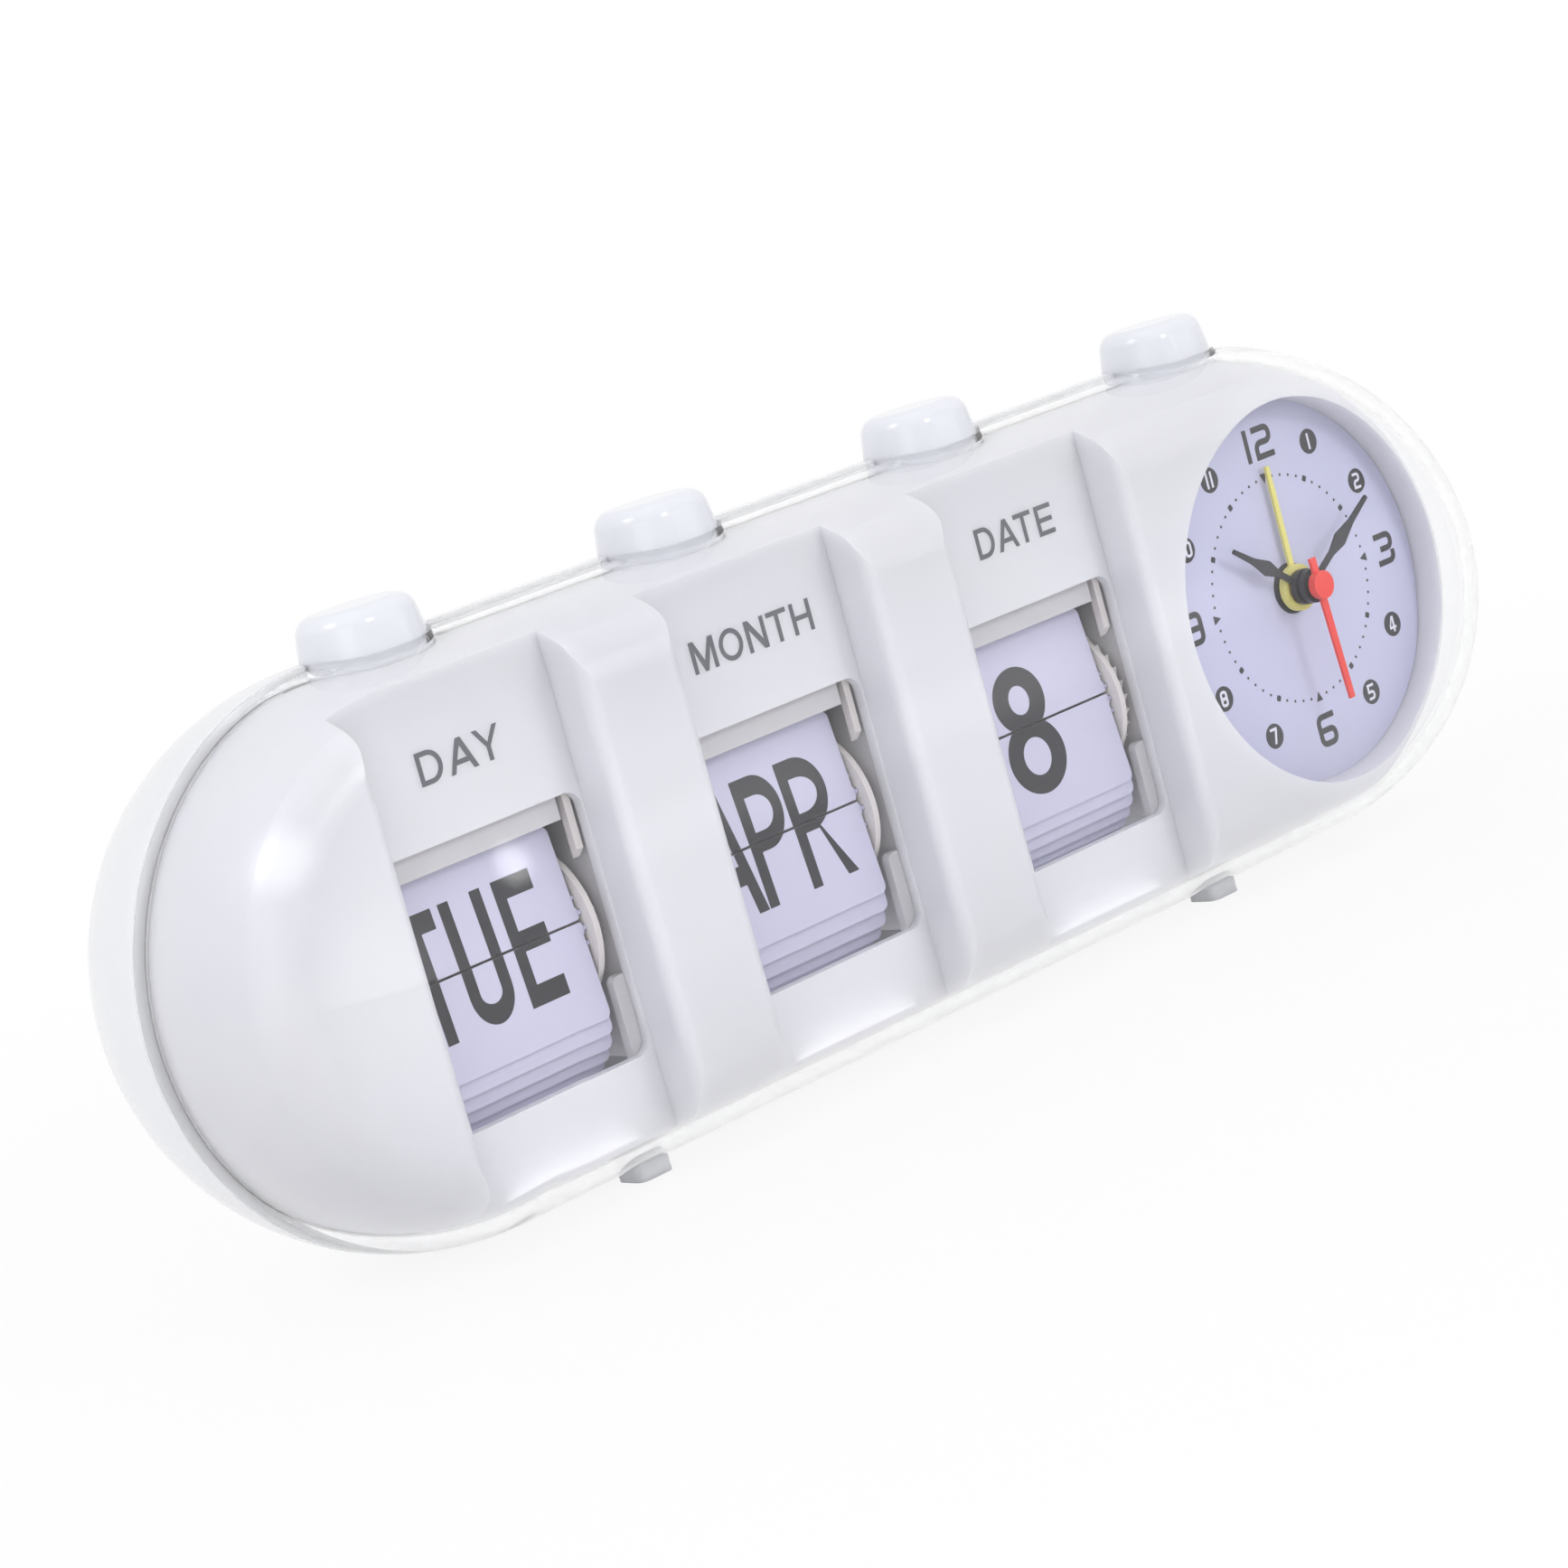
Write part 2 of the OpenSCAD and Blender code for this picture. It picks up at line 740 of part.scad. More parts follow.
module bracket(u) {
    color("whitesmoke")
        in_unit(u)
            difference() {
                union() {
                    for (side = [0, 1])
                        mirror([side, 0, 0]) {
                            translate([bracket_x, -bay_back, bracket_z0])
                                cube([bracket_t, bay_back + bracket_rear, bracket_z1 - bracket_z0]);
                            translate([bracket_x, -bay_back, bracket_z1 - ear_h])
                                cube([bracket_t + ear_w, bracket_t, ear_h]);
                        }
                    translate([-bracket_x, bracket_rear - bracket_t, bracket_z0])
                        cube([2 * bracket_x, bracket_t, bracket_z1 - bracket_z0 - arm_h - 1]);
                    translate([(guide_x + bracket_half) / 2, 0, bracket_z0])
                        along_y(-bay_back, guide_t - bay_back)
                            round_top(bracket_half - guide_x, -guide_drop - bracket_z0, 1);
                    translate([-bracket_x, -bay_back + bracket_gap, bar_z])
                        cube([bracket_x + leaf_w / 2 + leaf_side_gap, bracket_t, window_top - bar_z + 1]);
                }
                translate([0, 0, -drum_drop])
                    rod_x(axle_d, -far, far);
                for (side = [-1, 1])
                    translate([side * ear_x, 0, ear_z])
                        rod_y(ear_screw_d + 4 * screw_play, -bay_back - 1, bracket_t - bay_back + 1);
                along_y(bracket_rear - bracket_t - 1, bracket_rear + 1)
                    round_rect(-leaf_w / 3, leaf_w / 3, bracket_z0 + 4, bracket_z1 - 10, 3);
            }
}

module axle(u) {
    color("silver")
        on_drum(u)
            rod_x(axle_d, -bracket_half, bracket_half);
}

module drum(u) {
    n = leaf_counts[u];
    color("white")
        on_drum(u)
            difference() {
                union() {
                    rod_x(core_d, -flange_x, flange_x);
                    rod_x(hub_d, -hub_end, flange_end);
                    for (side = [0, 1])
                        mirror([side, 0, 0])
                            rod_x(2 * flange_r, flange_x, flange_end);
                }
                rod_x(axle_d + 2 * running, -far, far);
                for (i = [0 : n - 1], side = [0, 1])
                    mirror([side, 0, 0])
                        translate([0, -hinge_r * cos(leaf_angle(n, i)), hinge_r * sin(leaf_angle(n, i))])
                            rod_x(pin_d + 2 * pin_play, flange_x - 1, flange_end + 1);
            }
}

module ratchet(u) {
    n = leaf_counts[u];
    tip = ratchet_ds[u] / 2;
    color("white")
        on_drum(u)
            difference() {
                union() {
                    translate([flange_end, 0, 0])
                        along_x(ratchet_t)
                            polygon([
                                for (i = [0 : n - 1])
                                    let (a = 180 - leaf_pitch(n) * i)
                                    each [
                                        [tip * cos(a), tip * sin(a)],
                                        [(tip - tooth_h) * cos(a - 1), (tip - tooth_h) * sin(a - 1)]
                                    ]
                            ]);
                    rod_x(hub_d, ratchet_end, hub_end);
                }
                rod_x(axle_d + 2 * running, -far, far);
            }
}

// One leaf with its pins on the X axis and its free edge up
module leaf(n) {
    along_y(-leaf_t / 2, leaf_t / 2)
        translate([0, -leaf_overhang(n)])
            round_top(leaf_w - 2 * leaf_tab, leaf_h, leaf_corner);
    cube([leaf_w, leaf_t, 2 * pin_d], center = true);
    for (side = [0, 1])
        mirror([side, 0, 0])
            rod_x(pin_d, leaf_w / 2, flange_end - pin_play);
}

module leaf_on_drum(n, i) {
    translate([0, -hinge_r * cos(leaf_angle(n, i)), hinge_r * sin(leaf_angle(n, i))])
        rotate([-lean_of(n, i), 0, 0])
            leaf(n);
}

module leaf_set(u) {
    n = leaf_counts[u];
    color("lavender")
        on_drum(u)
            for (i = [1 : n - 1])
                leaf_on_drum(n, i);
}

module flip_leaf(u) {
    color("lavender")
        on_drum(u)
            leaf_on_drum(leaf_counts[u], 0);
}

// Bent steel strip whose nose rides on the back of the ratchet
module click_strip(u) {
    nose = ratchet_ds[u] / 2 + bracket_gap;
    strip_x = flange_end + ratchet_t / 4;
    foot_y = bracket_rear - bracket_t;
    color("silver")
        on_drum(u)
            translate([strip_x, 0, 0])
                along_x(ratchet_t / 2)
                    polygon([
                        [foot_y, 8],
                        [foot_y - click_t, 8],
                        [foot_y - click_t, 3],
                        [nose, 0],
                        [nose + click_t, -1.5],
                        [nose + 2 * click_t, -1.5],
                        [nose + 2 * click_t, 0],
                        [foot_y, 3 - click_t]
                    ]);
}

// Buttons

module cap_section() {
    half = button_w / 2;
    top = body_r + button_proud;
    turn_z = body_r - 1;
    centre_z = top - button_round;
    centre_x = half - (centre_z - turn_z) * tan(button_draft) - button_round / cos(button_draft);
    translate([centre_x, centre_z])
        circle(button_round);
    polygon([
        [0, collar_bottom],
        [half, collar_bottom],
        [half, turn_z],
        [centre_x + button_round * cos(button_draft), centre_z + button_round * sin(button_draft)],
        [centre_x, centre_z],
        [centre_x, top],
        [0, top]
    ]);
}

module button(u) {
    stem_end = u == ALARM ? movement_top + button_travel + tube_rest : arm_z;
    color("white")
        in_unit(u) {
            stadium((button_l - button_w) / 2) cap_section();
            translate([0, 0, collar_bottom])
                linear_extrude(collar)
                    oblong(button_l + 2 * collar, button_w + 2 * collar);
            translate([0, 0, stem_end])
                cylinder(d = stem_d, h = collar_bottom - stem_end + collar);
        }
}

// Arm under the stem with the finger that pushes the ratchet round
module pawl(u) {
    finger_x = flange_end + (ratchet_t - pawl_w) / 2;
    color("whitesmoke")
        in_unit(u) {
            translate([-stem_d / 2, -stem_d / 2, arm_z - arm_h])
                cube([finger_x + pawl_w + stem_d / 2, stem_d, arm_h]);
            translate([finger_x, -pawl_y0, arm_z - arm_h])
                cube([pawl_w, pawl_y0, arm_h]);
            translate([finger_x, 0, 0])
                along_x(pawl_w)
                    polygon([
                        [-pawl_y0, arm_z],
                        [-pawl_y0, pawl_tip + 1],
                        [-pawl_y1, pawl_tip],
                        [-pawl_y1, arm_z]
                    ]);
        }
}

module button_spring(u) {
    color("silver")
        in_unit(u)
            coil(spring_d, spring_wire, well_floor, collar_bottom, spring_curls);
}

// Dial, hands and movement

module dial() {
    color("lavender")
        difference() {
            on_dial(0)
                translate([0, 0, -dial_lift])
                    rod_y(2 * dial_r, dial_front, movement_front);
            on_dial(0) rod_y(2 * bush_r + 4 * running, dial_front - 1, movement_front + 1);
        }
}

module movement_case() {
    color("dimgray")
        difference() {
            union() {
                in_body()
                    along_y(movement_front, movement_back)
                        round_rect(
                            dial_x - movement_w / 2, dial_x + movement_w / 2,
                            -movement_bottom, movement_top, 4
                        );
                on_dial(0) rod_y(2 * bush_r, dial_front - hand_gap / 2, movement_front + 1);
            }
            on_dial(0) rod_y(2 * (alarm_r + running), dial_front - hand_gap, arbor_in);
            for (side = [-1, 1])
                in_body()
                    translate([dial_x + side * knob_span / 2, 0, knob_lift])
                        rod_y(shaft_d + 2 * running, movement_back - 5, movement_back + 1);
        }
}

module tube(r, bore_r, y0) {
    on_dial(0)
        difference() {
            rod_y(2 * r, y0, arbor_in - tube_rest);
            if (bore_r > 0)
                rod_y(2 * bore_r, y0 - 1, arbor_in + 1);
        }
}

module alarm_tube() { color("gold") tube(alarm_r, hour_r + running, alarm_y - hand_t); }
module hour_tube() { color("gold") tube(hour_r, minute_r + running, hour_y - hand_t); }
module minute_tube() { color("gold") tube(minute_r, second_r + running, minute_y - hand_t); }
module second_arbor() { color("silver") tube(second_r, 0, second_y - hand_t); }

// Hand that points up, pressed on its arbor with a hub; the outline is half the blade. The bore goes through
// where the arbors of the hands in front pass
module hand(y, arbor_r, hub_r, hub_h, bore_h, outline, turn) {
    on_dial(y)
        rotate([0, turn, 0])
            difference() {
                union() {
                    along_y(-hand_t, 0) {
                        polygon(outline);
                        mirror([1, 0])
                            polygon(outline);
                    }
                    rod_y(2 * hub_r, -hub_h, 0);
                }
                rod_y(2 * arbor_r, -bore_h, 1);
            }
}

function spear(l, neck, wide) = [
    [0, 0], [neck, 0], [neck, 0.36 * l], [wide, 0.52 * l], [neck, 0.72 * l], [0.25, l], [0, l]
];
function bar_with_tail(l, wide, tail) = [[0, -tail], [wide, -tail], [wide, 0], [0.8 * wide, l], [0, l]];

module alarm_hand() {
    color("khaki")
        hand(alarm_y, alarm_r, alarm_r + 0.8, hub_h, 2 * hub_h, bar_with_tail(alarm_l, 0.45, 0), 0);
}

module hour_hand() {
    color([0.12, 0.12, 0.14])
        hand(
            hour_y, hour_r, hour_r + 0.75, hub_h, 2 * hub_h,
            spear(hour_l, 0.4, 1), clock_turn(show_hour, show_minute)
        );
}

module minute_hand() {
    color([0.12, 0.12, 0.14])
        hand(
            minute_y, minute_r, minute_r + 1.25, hub_h, 2 * hub_h,
            spear(minute_l, 0.4, 1), clock_turn(0, 12 * show_minute)
        );
}

module second_hand() {
    color("orangered")
        hand(
            second_y, second_r, second_hub_r, second_hub_h, hand_t,
            bar_with_tail(second_l, 0.55, second_tail), clock_turn(0, 12 * show_second)
        );
}

module knob(side) {
    grips = 20;
    color("dimgray")
        in_body()
            translate([dial_x + side * knob_span / 2, 0, knob_lift]) {
                rod_y(shaft_d, movement_back - 4, panel_depth + 1);
                difference() {
                    rod_y(knob_d, panel_depth + tube_rest, panel_depth + tube_rest + knob_h);
                    for (i = [0 : grips - 1])
                        rotate([0, 360 * i / grips, 0])
                            translate([knob_d / 2, 0, 0])
                                rod_y(0.7, panel_depth + 1.5, body_r);
                }
            }
}

module time_knob() { knob(-1); }
module alarm_knob() { knob(1); }

module buzzer() {
    buzzer_d = 12;
    buzzer_t = 1.4;
    color("gold")
        in_body()
            translate([dial_x + movement_w / 2, (movement_front + movement_back) / 2, 0])
                rod_x(buzzer_d, 0, buzzer_t);
}

// Battery

module battery_cell() {
    pip_d = 3.8;
    pip_h = 0.8;
    color("gray")
        in_body()
            translate([0, cell_y, -cell_drop]) {
                rod_x(cell_d, cell_x0, cell_x0 + cell_l - pip_h);
                rod_x(pip_d, cell_x0, cell_x0 + cell_l);
            }
}

module battery_plate() {
    color("silver")
        in_body()
            translate([tub_x1 - contact_t, cell_y - cell_d / 3, -cell_drop - cell_d / 3])
                cube([contact_t, cell_d / 1.5, cell_d / 1.5]);
}

module battery_spring() {
    color("silver")
        in_body()
            translate([0, cell_y, -cell_drop])
                rotate([0, 90, 0])
                    coil(6, 0.5, tub_x0, cell_x0, 2);
}

module battery_lid() {
    notch_w = 10;
    color("whitesmoke")
        in_body()
            difference() {
                translate([tub_x0 + lid_gap, panel_back, -cell_drop - tub_half + lid_gap])
                    cube([tub_x1 - tub_x0 - 2 * lid_gap, panel_t, 2 * (tub_half - lid_gap)]);
                for (i = [0 : 3])
                    translate([tub_x0 + 4 + 1.6 * i, panel_depth, -cell_drop])
                        cube([0.8, panel_t / 1.5, notch_w - 2], center = true);
            }
}

front_cover();
rear_shell();
window_frame();
feet();
case_screws();
bracket_screws();
dial();
movement_case();
buzzer();
battery_cell();
battery_spring();
battery_plate();
battery_lid();
time_knob();
alarm_knob();
hour_tube();
minute_tube();
second_arbor();
alarm_tube();
hour_hand();
minute_hand();
second_hand();
alarm_hand();
bracket(DAY);  // day_bracket
bracket(MONTH);  // month_bracket
bracket(DATE);  // date_bracket
axle(DAY);  // day_axle
axle(MONTH);  // month_axle
axle(DATE);  // date_axle
click_strip(DAY);  // day_click
click_strip(MONTH);  // month_click
click_strip(DATE);  // date_click
drum(DAY);  // day_drum
drum(MONTH);  // month_drum
drum(DATE);  // date_drum
ratchet(DAY);  // day_ratchet
ratchet(MONTH);  // month_ratchet
ratchet(DATE);  // date_ratchet
leaf_set(DAY);  // day_leaf_set
leaf_set(MONTH);  // month_leaf_set
leaf_set(DATE);  // date_leaf_set
flip_leaf(DAY);  // day_flip_leaf
flip_leaf(MONTH);  // month_flip_leaf
flip_leaf(DATE);  // date_flip_leaf
button(DAY);  // day_button
button(MONTH);  // month_button
button(DATE);  // date_button
button(ALARM);  // alarm_button
pawl(DAY);  // day_pawl
pawl(MONTH);  // month_pawl
pawl(DATE);  // date_pawl
button_spring(DAY);  // day_spring
button_spring(MONTH);  // month_spring
button_spring(DATE);  // date_spring
button_spring(ALARM);  // alarm_spring
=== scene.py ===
"""Flip calendar clock: finishes, print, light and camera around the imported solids, in metres."""

import math

import bmesh
import bpy
from mathutils import Euler, Matrix, Vector


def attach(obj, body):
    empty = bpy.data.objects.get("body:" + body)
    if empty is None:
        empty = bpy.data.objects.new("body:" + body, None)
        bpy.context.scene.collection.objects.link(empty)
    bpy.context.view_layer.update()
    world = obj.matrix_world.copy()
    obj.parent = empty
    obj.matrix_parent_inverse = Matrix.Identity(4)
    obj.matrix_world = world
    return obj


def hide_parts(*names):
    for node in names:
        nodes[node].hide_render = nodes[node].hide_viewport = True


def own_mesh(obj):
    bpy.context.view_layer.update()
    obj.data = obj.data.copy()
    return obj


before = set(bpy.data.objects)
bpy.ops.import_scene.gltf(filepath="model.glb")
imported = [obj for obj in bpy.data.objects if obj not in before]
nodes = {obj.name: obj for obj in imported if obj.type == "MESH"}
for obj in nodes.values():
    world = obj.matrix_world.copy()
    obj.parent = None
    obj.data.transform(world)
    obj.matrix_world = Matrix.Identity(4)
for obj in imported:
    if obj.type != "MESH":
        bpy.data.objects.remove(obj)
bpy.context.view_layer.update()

# Places of the solids, in millimetres
MM = 0.001
AXIS_Z = 34.0
CAP_X = 69.5
BAY_Y = -11.0
DIAL_X = CAP_X
DIAL_Y = -12.1
DIAL_LIFT = 0.5
UNIT_X = {"day": -62.0, "month": -18.5, "date": 25.0}
ALARM_X = 68.5
BUTTONS_X = (*UNIT_X.values(), ALARM_X)

# Leaf drums of the solids, in millimetres and degrees
LEAVES = {"day": 28, "month": 24, "date": 31}
LEAF_T = 0.15
HINGE_R = 8.0
DRUM_DROP = 4.3
SPLIT_ANGLE = 7.0
SPLIT_GAP = 0.3
LEAN_UP = 6.0
LEAN_RATE = 0.8
TILT_DOWN = 5.0


# Finishes: noise scales in waves per metre, depths in millimetres
FLOW_SCALE = 45
FLOW_DETAIL = 3
GLOSS_SCALE = 160
GLOSS_DETAIL = 1
GLOSS_SHIFT = 0.05
GRAIN_DEPTH = 0.1
MILKY_DEPTH = 3.0
PLASTIC_IOR = 1.49
LINE_SCALE = (200, 6000, 6000)
LINE_SHADE = 0.85
LINE_GLOSS_SHIFT = 0.3
CLEAR_SHADOW = (0.97, 0.975, 0.985)


def new_material(name):
    mat = bpy.data.materials.new(name)
    mat.use_nodes = True
    tree = mat.node_tree
    shader = tree.nodes["Principled BSDF"]
    return mat, tree, shader


def noise_value(tree, scale, detail=2.0):
    """A noise in object space."""
    coords = tree.nodes.new("ShaderNodeTexCoord")
    noise = tree.nodes.new("ShaderNodeTexNoise")
    noise.inputs["Scale"].default_value = scale
    noise.inputs["Detail"].default_value = detail
    tree.links.new(coords.outputs["Object"], noise.inputs["Vector"])
    return noise.outputs["Fac"]


def spread(tree, value, low, high, start=0.3, end=0.7, smooth=False):
    """Maps a value between start and end onto low to high."""
    ranged = tree.nodes.new("ShaderNodeMapRange")
    if smooth:
        ranged.interpolation_type = "SMOOTHSTEP"
    ranged.inputs["From Min"].default_value = start
    ranged.inputs["From Max"].default_value = end
    ranged.inputs["To Min"].default_value = low
    ranged.inputs["To Max"].default_value = high
    tree.links.new(value, ranged.inputs["Value"])
    return ranged.outputs["Result"]


def two_tone(tree, value, first, second):
    mix = tree.nodes.new("ShaderNodeMix")
    mix.data_type = "RGBA"
    mix.inputs["A"].default_value = (*first, 1)
    mix.inputs["B"].default_value = (*second, 1)
    tree.links.new(value, mix.inputs["Factor"])
    return mix.outputs["Result"]


def colour_flow(tree, shader, first, second):
    """A slow drift between two colours."""
    flow = spread(tree, noise_value(tree, FLOW_SCALE, FLOW_DETAIL), 0, 1)
    tree.links.new(two_tone(tree, flow, first, second), shader.inputs["Base Color"])


def uneven_gloss(tree, shader, value, rough, shift):
    gloss = spread(tree, value, rough * (1 - shift), rough * (1 + shift))
    tree.links.new(gloss, shader.inputs["Roughness"])


def moulded(name, colour, rough, grain=2500, depth=0.02, shift=0.03, coat=0.0, milky=0.0):
    """Moulded plastic: a faint flow in the colour, uneven gloss and a fine grain.

    Milky is the share of light that goes into the plastic and scatters there.
    """
    mat, tree, shader = new_material(name)
    colour_flow(tree, shader, colour, [c * (1 - shift) for c in colour])
    uneven_gloss(tree, shader, noise_value(tree, GLOSS_SCALE, GLOSS_DETAIL), rough, GLOSS_SHIFT)
    bump = tree.nodes.new("ShaderNodeBump")
    bump.inputs["Strength"].default_value = depth
    bump.inputs["Distance"].default_value = GRAIN_DEPTH * MM
    tree.links.new(noise_value(tree, grain), bump.inputs["Height"])
    tree.links.new(bump.outputs["Normal"], shader.inputs["Normal"])
    shader.inputs["IOR"].default_value = PLASTIC_IOR
    shader.inputs["Coat Weight"].default_value = coat
    shader.inputs["Subsurface Weight"].default_value = milky
    shader.inputs["Subsurface Radius"].default_value = (1, 1, 1)
    shader.inputs["Subsurface Scale"].default_value = MILKY_DEPTH * MM
    return mat


def metal(name, colour, rough):
    """Drawn or turned metal with fine lines along X."""
    mat, tree, shader = new_material(name)
    coords = tree.nodes.new("ShaderNodeTexCoord")
    stretch = tree.nodes.new("ShaderNodeMapping")
    stretch.inputs["Scale"].default_value = LINE_SCALE
    lines = tree.nodes.new("ShaderNodeTexNoise")
    lines.inputs["Scale"].default_value = 1
    tree.links.new(coords.outputs["Object"], stretch.inputs["Vector"])
    tree.links.new(stretch.outputs["Vector"], lines.inputs["Vector"])
    darker = [c * LINE_SHADE for c in colour]
    tree.links.new(two_tone(tree, lines.outputs["Fac"], colour, darker), shader.inputs["Base Color"])
    uneven_gloss(tree, shader, lines.outputs["Fac"], rough, LINE_GLOSS_SHIFT)
    shader.inputs["Metallic"].default_value = 1
    return mat


def clear(name, colour, tint, ior, coat):
    """Clear thin moulding with a faint flow in its tint; lamps shine through."""
    mat, tree, shader = new_material(name)
    colour_flow(tree, shader, colour, tint)
    shader.inputs["Transmission Weight"].default_value = 1
    shader.inputs["IOR"].default_value = ior
    shader.inputs["Roughness"].default_value = 0
    shader.inputs["Coat Weight"].default_value = coat
    shader.inputs["Coat Roughness"].default_value = 0
    open_way = tree.nodes.new("ShaderNodeBsdfTransparent")
    open_way.inputs["Color"].default_value = (*CLEAR_SHADOW, 1)
    path = tree.nodes.new("ShaderNodeLightPath")
    mix = tree.nodes.new("ShaderNodeMixShader")
    tree.links.new(path.outputs["Is Shadow Ray"], mix.inputs["Fac"])
    tree.links.new(shader.outputs["BSDF"], mix.inputs[1])
    tree.links.new(open_way.outputs["BSDF"], mix.inputs[2])
    tree.links.new(mix.outputs["Shader"], tree.nodes["Material Output"].inputs["Surface"])
    return mat


WHITE = moulded("white_gloss", (0.815, 0.82, 0.84), 0.2, shift=0.008, coat=0.25, milky=0.6)
FRAME_WHITE = moulded("frame_white", (0.69, 0.69, 0.735), 0.3, depth=0.03, shift=0.008, milky=0.6)
BUTTON_WHITE = moulded("button_white", (0.8, 0.81, 0.86), 0.16, shift=0.008, coat=0.4)
BEIGE = moulded("mechanism_beige", (0.74, 0.7, 0.69), 0.4, depth=0.05)
# The bracket is white plastic. Its grey colour is painted shade for the dim window recesses where it
# shows.
BRACKET_PAINTED_SHADE = moulded("bracket_painted_shade", (0.55, 0.54, 0.565), 0.4, depth=0.05)
LEAF = moulded("leaf_film", (0.55, 0.54, 0.69), 0.35, grain=6000, depth=0.05, shift=0.02)
DIAL_PAPER = moulded("dial_print", (0.525, 0.525, 0.705), 0.55, grain=7000, depth=0.05, shift=0.02)
BLACK = moulded("movement_black", (0.03, 0.03, 0.034), 0.45, depth=0.1)
GREY = moulded("knob_grey", (0.06, 0.06, 0.064), 0.4, depth=0.1)
INK_GREY = moulded("print_grey", (0.028, 0.027, 0.034), 0.3, shift=0.12)
INK_CAPTION = moulded("caption_grey", (0.115, 0.115, 0.135), 0.5, shift=0.08)
INK_WHITE = moulded("print_white", (0.7, 0.7, 0.8), 0.5)
HAND_BLACK = moulded("hand_black", (0.016, 0.017, 0.025), 0.42, depth=0.05, shift=0.15)
HAND_YELLOW = moulded("hand_yellow", (0.72, 0.66, 0.2), 0.42, depth=0.05)
HAND_RED = moulded("hand_red", (0.78, 0.05, 0.04), 0.3, depth=0.05)
STEEL = metal("steel", (0.62, 0.62, 0.63), 0.28)
BRASS = metal("brass", (0.76, 0.58, 0.26), 0.3)
CELL = moulded("cell_jacket", (0.16, 0.17, 0.19), 0.3)
CLEAR = clear("clear_cover", (1, 1, 1), (0.985, 0.988, 1), 1.12, 0.4)

FINISHES = {
    "front_cover": CLEAR,
    "rear_shell": WHITE,
    "feet": WHITE,
    "battery_lid": WHITE,
    "window_frame": FRAME_WHITE,
    "dial": DIAL_PAPER,
    "movement_case": BLACK,
    "time_knob": GREY,
    "alarm_knob": GREY,
    "hour_hand": HAND_BLACK,
    "minute_hand": HAND_BLACK,
    "alarm_hand": HAND_YELLOW,
    "second_hand": HAND_RED,
    "buzzer": BRASS,
    "battery_cell": CELL,
}
FINISH_BY_END = {
    "_button": BUTTON_WHITE,
    "_bracket": BRACKET_PAINTED_SHADE,
    "_drum": BEIGE,
    "_ratchet": BEIGE,
    "_pawl": BEIGE,
    "_leaf_set": LEAF,
    "_flip_leaf": LEAF,
    "_tube": BRASS,
}

# A node in neither list is steel
for name, obj in nodes.items():
    ends = [mat for end, mat in FINISH_BY_END.items() if name.endswith(end)]
    finish = FINISHES.get(name) or (ends[0] if ends else STEEL)
    obj.data.materials.clear()
    obj.data.materials.append(finish)


# Meshes


def link(obj):
    bpy.context.scene.collection.objects.link(obj)
    return obj


def mesh_of(form, name):
    """Writes a form to a new mesh and frees it."""
    mesh = bpy.data.meshes.new(name)
    form.to_mesh(mesh)
    form.free()
    return mesh


def arc(cu, cw, ru, rw, start, end, steps=20):
    turns = [math.radians(start + (end - start) * k / steps) for k in range(steps + 1)]
    return [(cu + ru * math.cos(t), cw + rw * math.sin(t)) for t in turns]


def ring(form, section, x, angle):
    """Corners of a section (radius, y) at a station of the seam's line: x of the centre and angle."""
    side, lift = math.cos(math.radians(angle)), math.sin(math.radians(angle))
    places = [((x + r * side) * MM, y * MM, (AXIS_Z + r * lift) * MM) for r, y in section]
    return [form.verts.new(place) for place in places]


def band(form, one, two, gap=None):
    """Faces between two closed rings, apart from the face just before corner number gap."""
    for k in range(len(one)):
        if k != gap:
            form.faces.new((one[k - 1], one[k], two[k], two[k - 1]))


# Tongue of the rear shell behind the cover's edge, with gaps at the buttons on top
BUTTON_ROOM = 11.0
LIP_SECTION = ((30.25, -0.3), (30.9, -0.3), (30.9, 1.2), (30.25, 1.2))
LIP_RIGHT_ANGLES = range(70, -91, -4)
LIP_LEFT_ANGLES = range(-90, -263, -4)


def swept(form, run):
    """Sweeps the tongue's section along stations (x of the centre, angle)."""
    rings = [ring(form, LIP_SECTION, x, angle) for x, angle in run]
    for one, two in zip(rings, rings[1:]):
        band(form, one, two)
    form.faces.new(rings[0][::-1])
    form.faces.new(rings[-1])


form = bmesh.new()
right_end = [(CAP_X, angle) for angle in LIP_RIGHT_ANGLES]
left_end = [(-CAP_X, angle) for angle in LIP_LEFT_ANGLES]
swept(form, right_end + left_end)
for before, after in zip(BUTTONS_X, BUTTONS_X[1:]):
    swept(form, [(before + BUTTON_ROOM, 90), (after - BUTTON_ROOM, 90)])
bmesh.ops.recalc_face_normals(form, faces=form.faces[:])
mesh = mesh_of(form, "shell_lip")
mesh.materials.append(WHITE)
lip = link(bpy.data.objects.new("shell_lip", mesh))
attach(lip, "case")


# Button springs: each is copied onto the case as a mesh of its own, in place of its node
for unit in (*UNIT_X, "alarm"):
    node = unit + "_spring"
    spring = link(bpy.data.objects.new(unit + "_coil", nodes[node].data.copy()))
    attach(spring, "case")
    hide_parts(node)
    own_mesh(spring)


# Clear cover, meshed finely: a clear wall shows every facet at its edge
COVER_R = 32.99
COVER_T = 1.8
SEAM_CHAMFER = 0.35
SEAM_ROOM = 0.02
HOLE_L = 16.0
HOLE_W = 13.0
HOLE_Z = (50.0, 70.0)
SECTION_STEPS = 40
END_STEPS = 80
SIDE_STEPS = 40
WELD = 0.001
SHARP = math.radians(30)


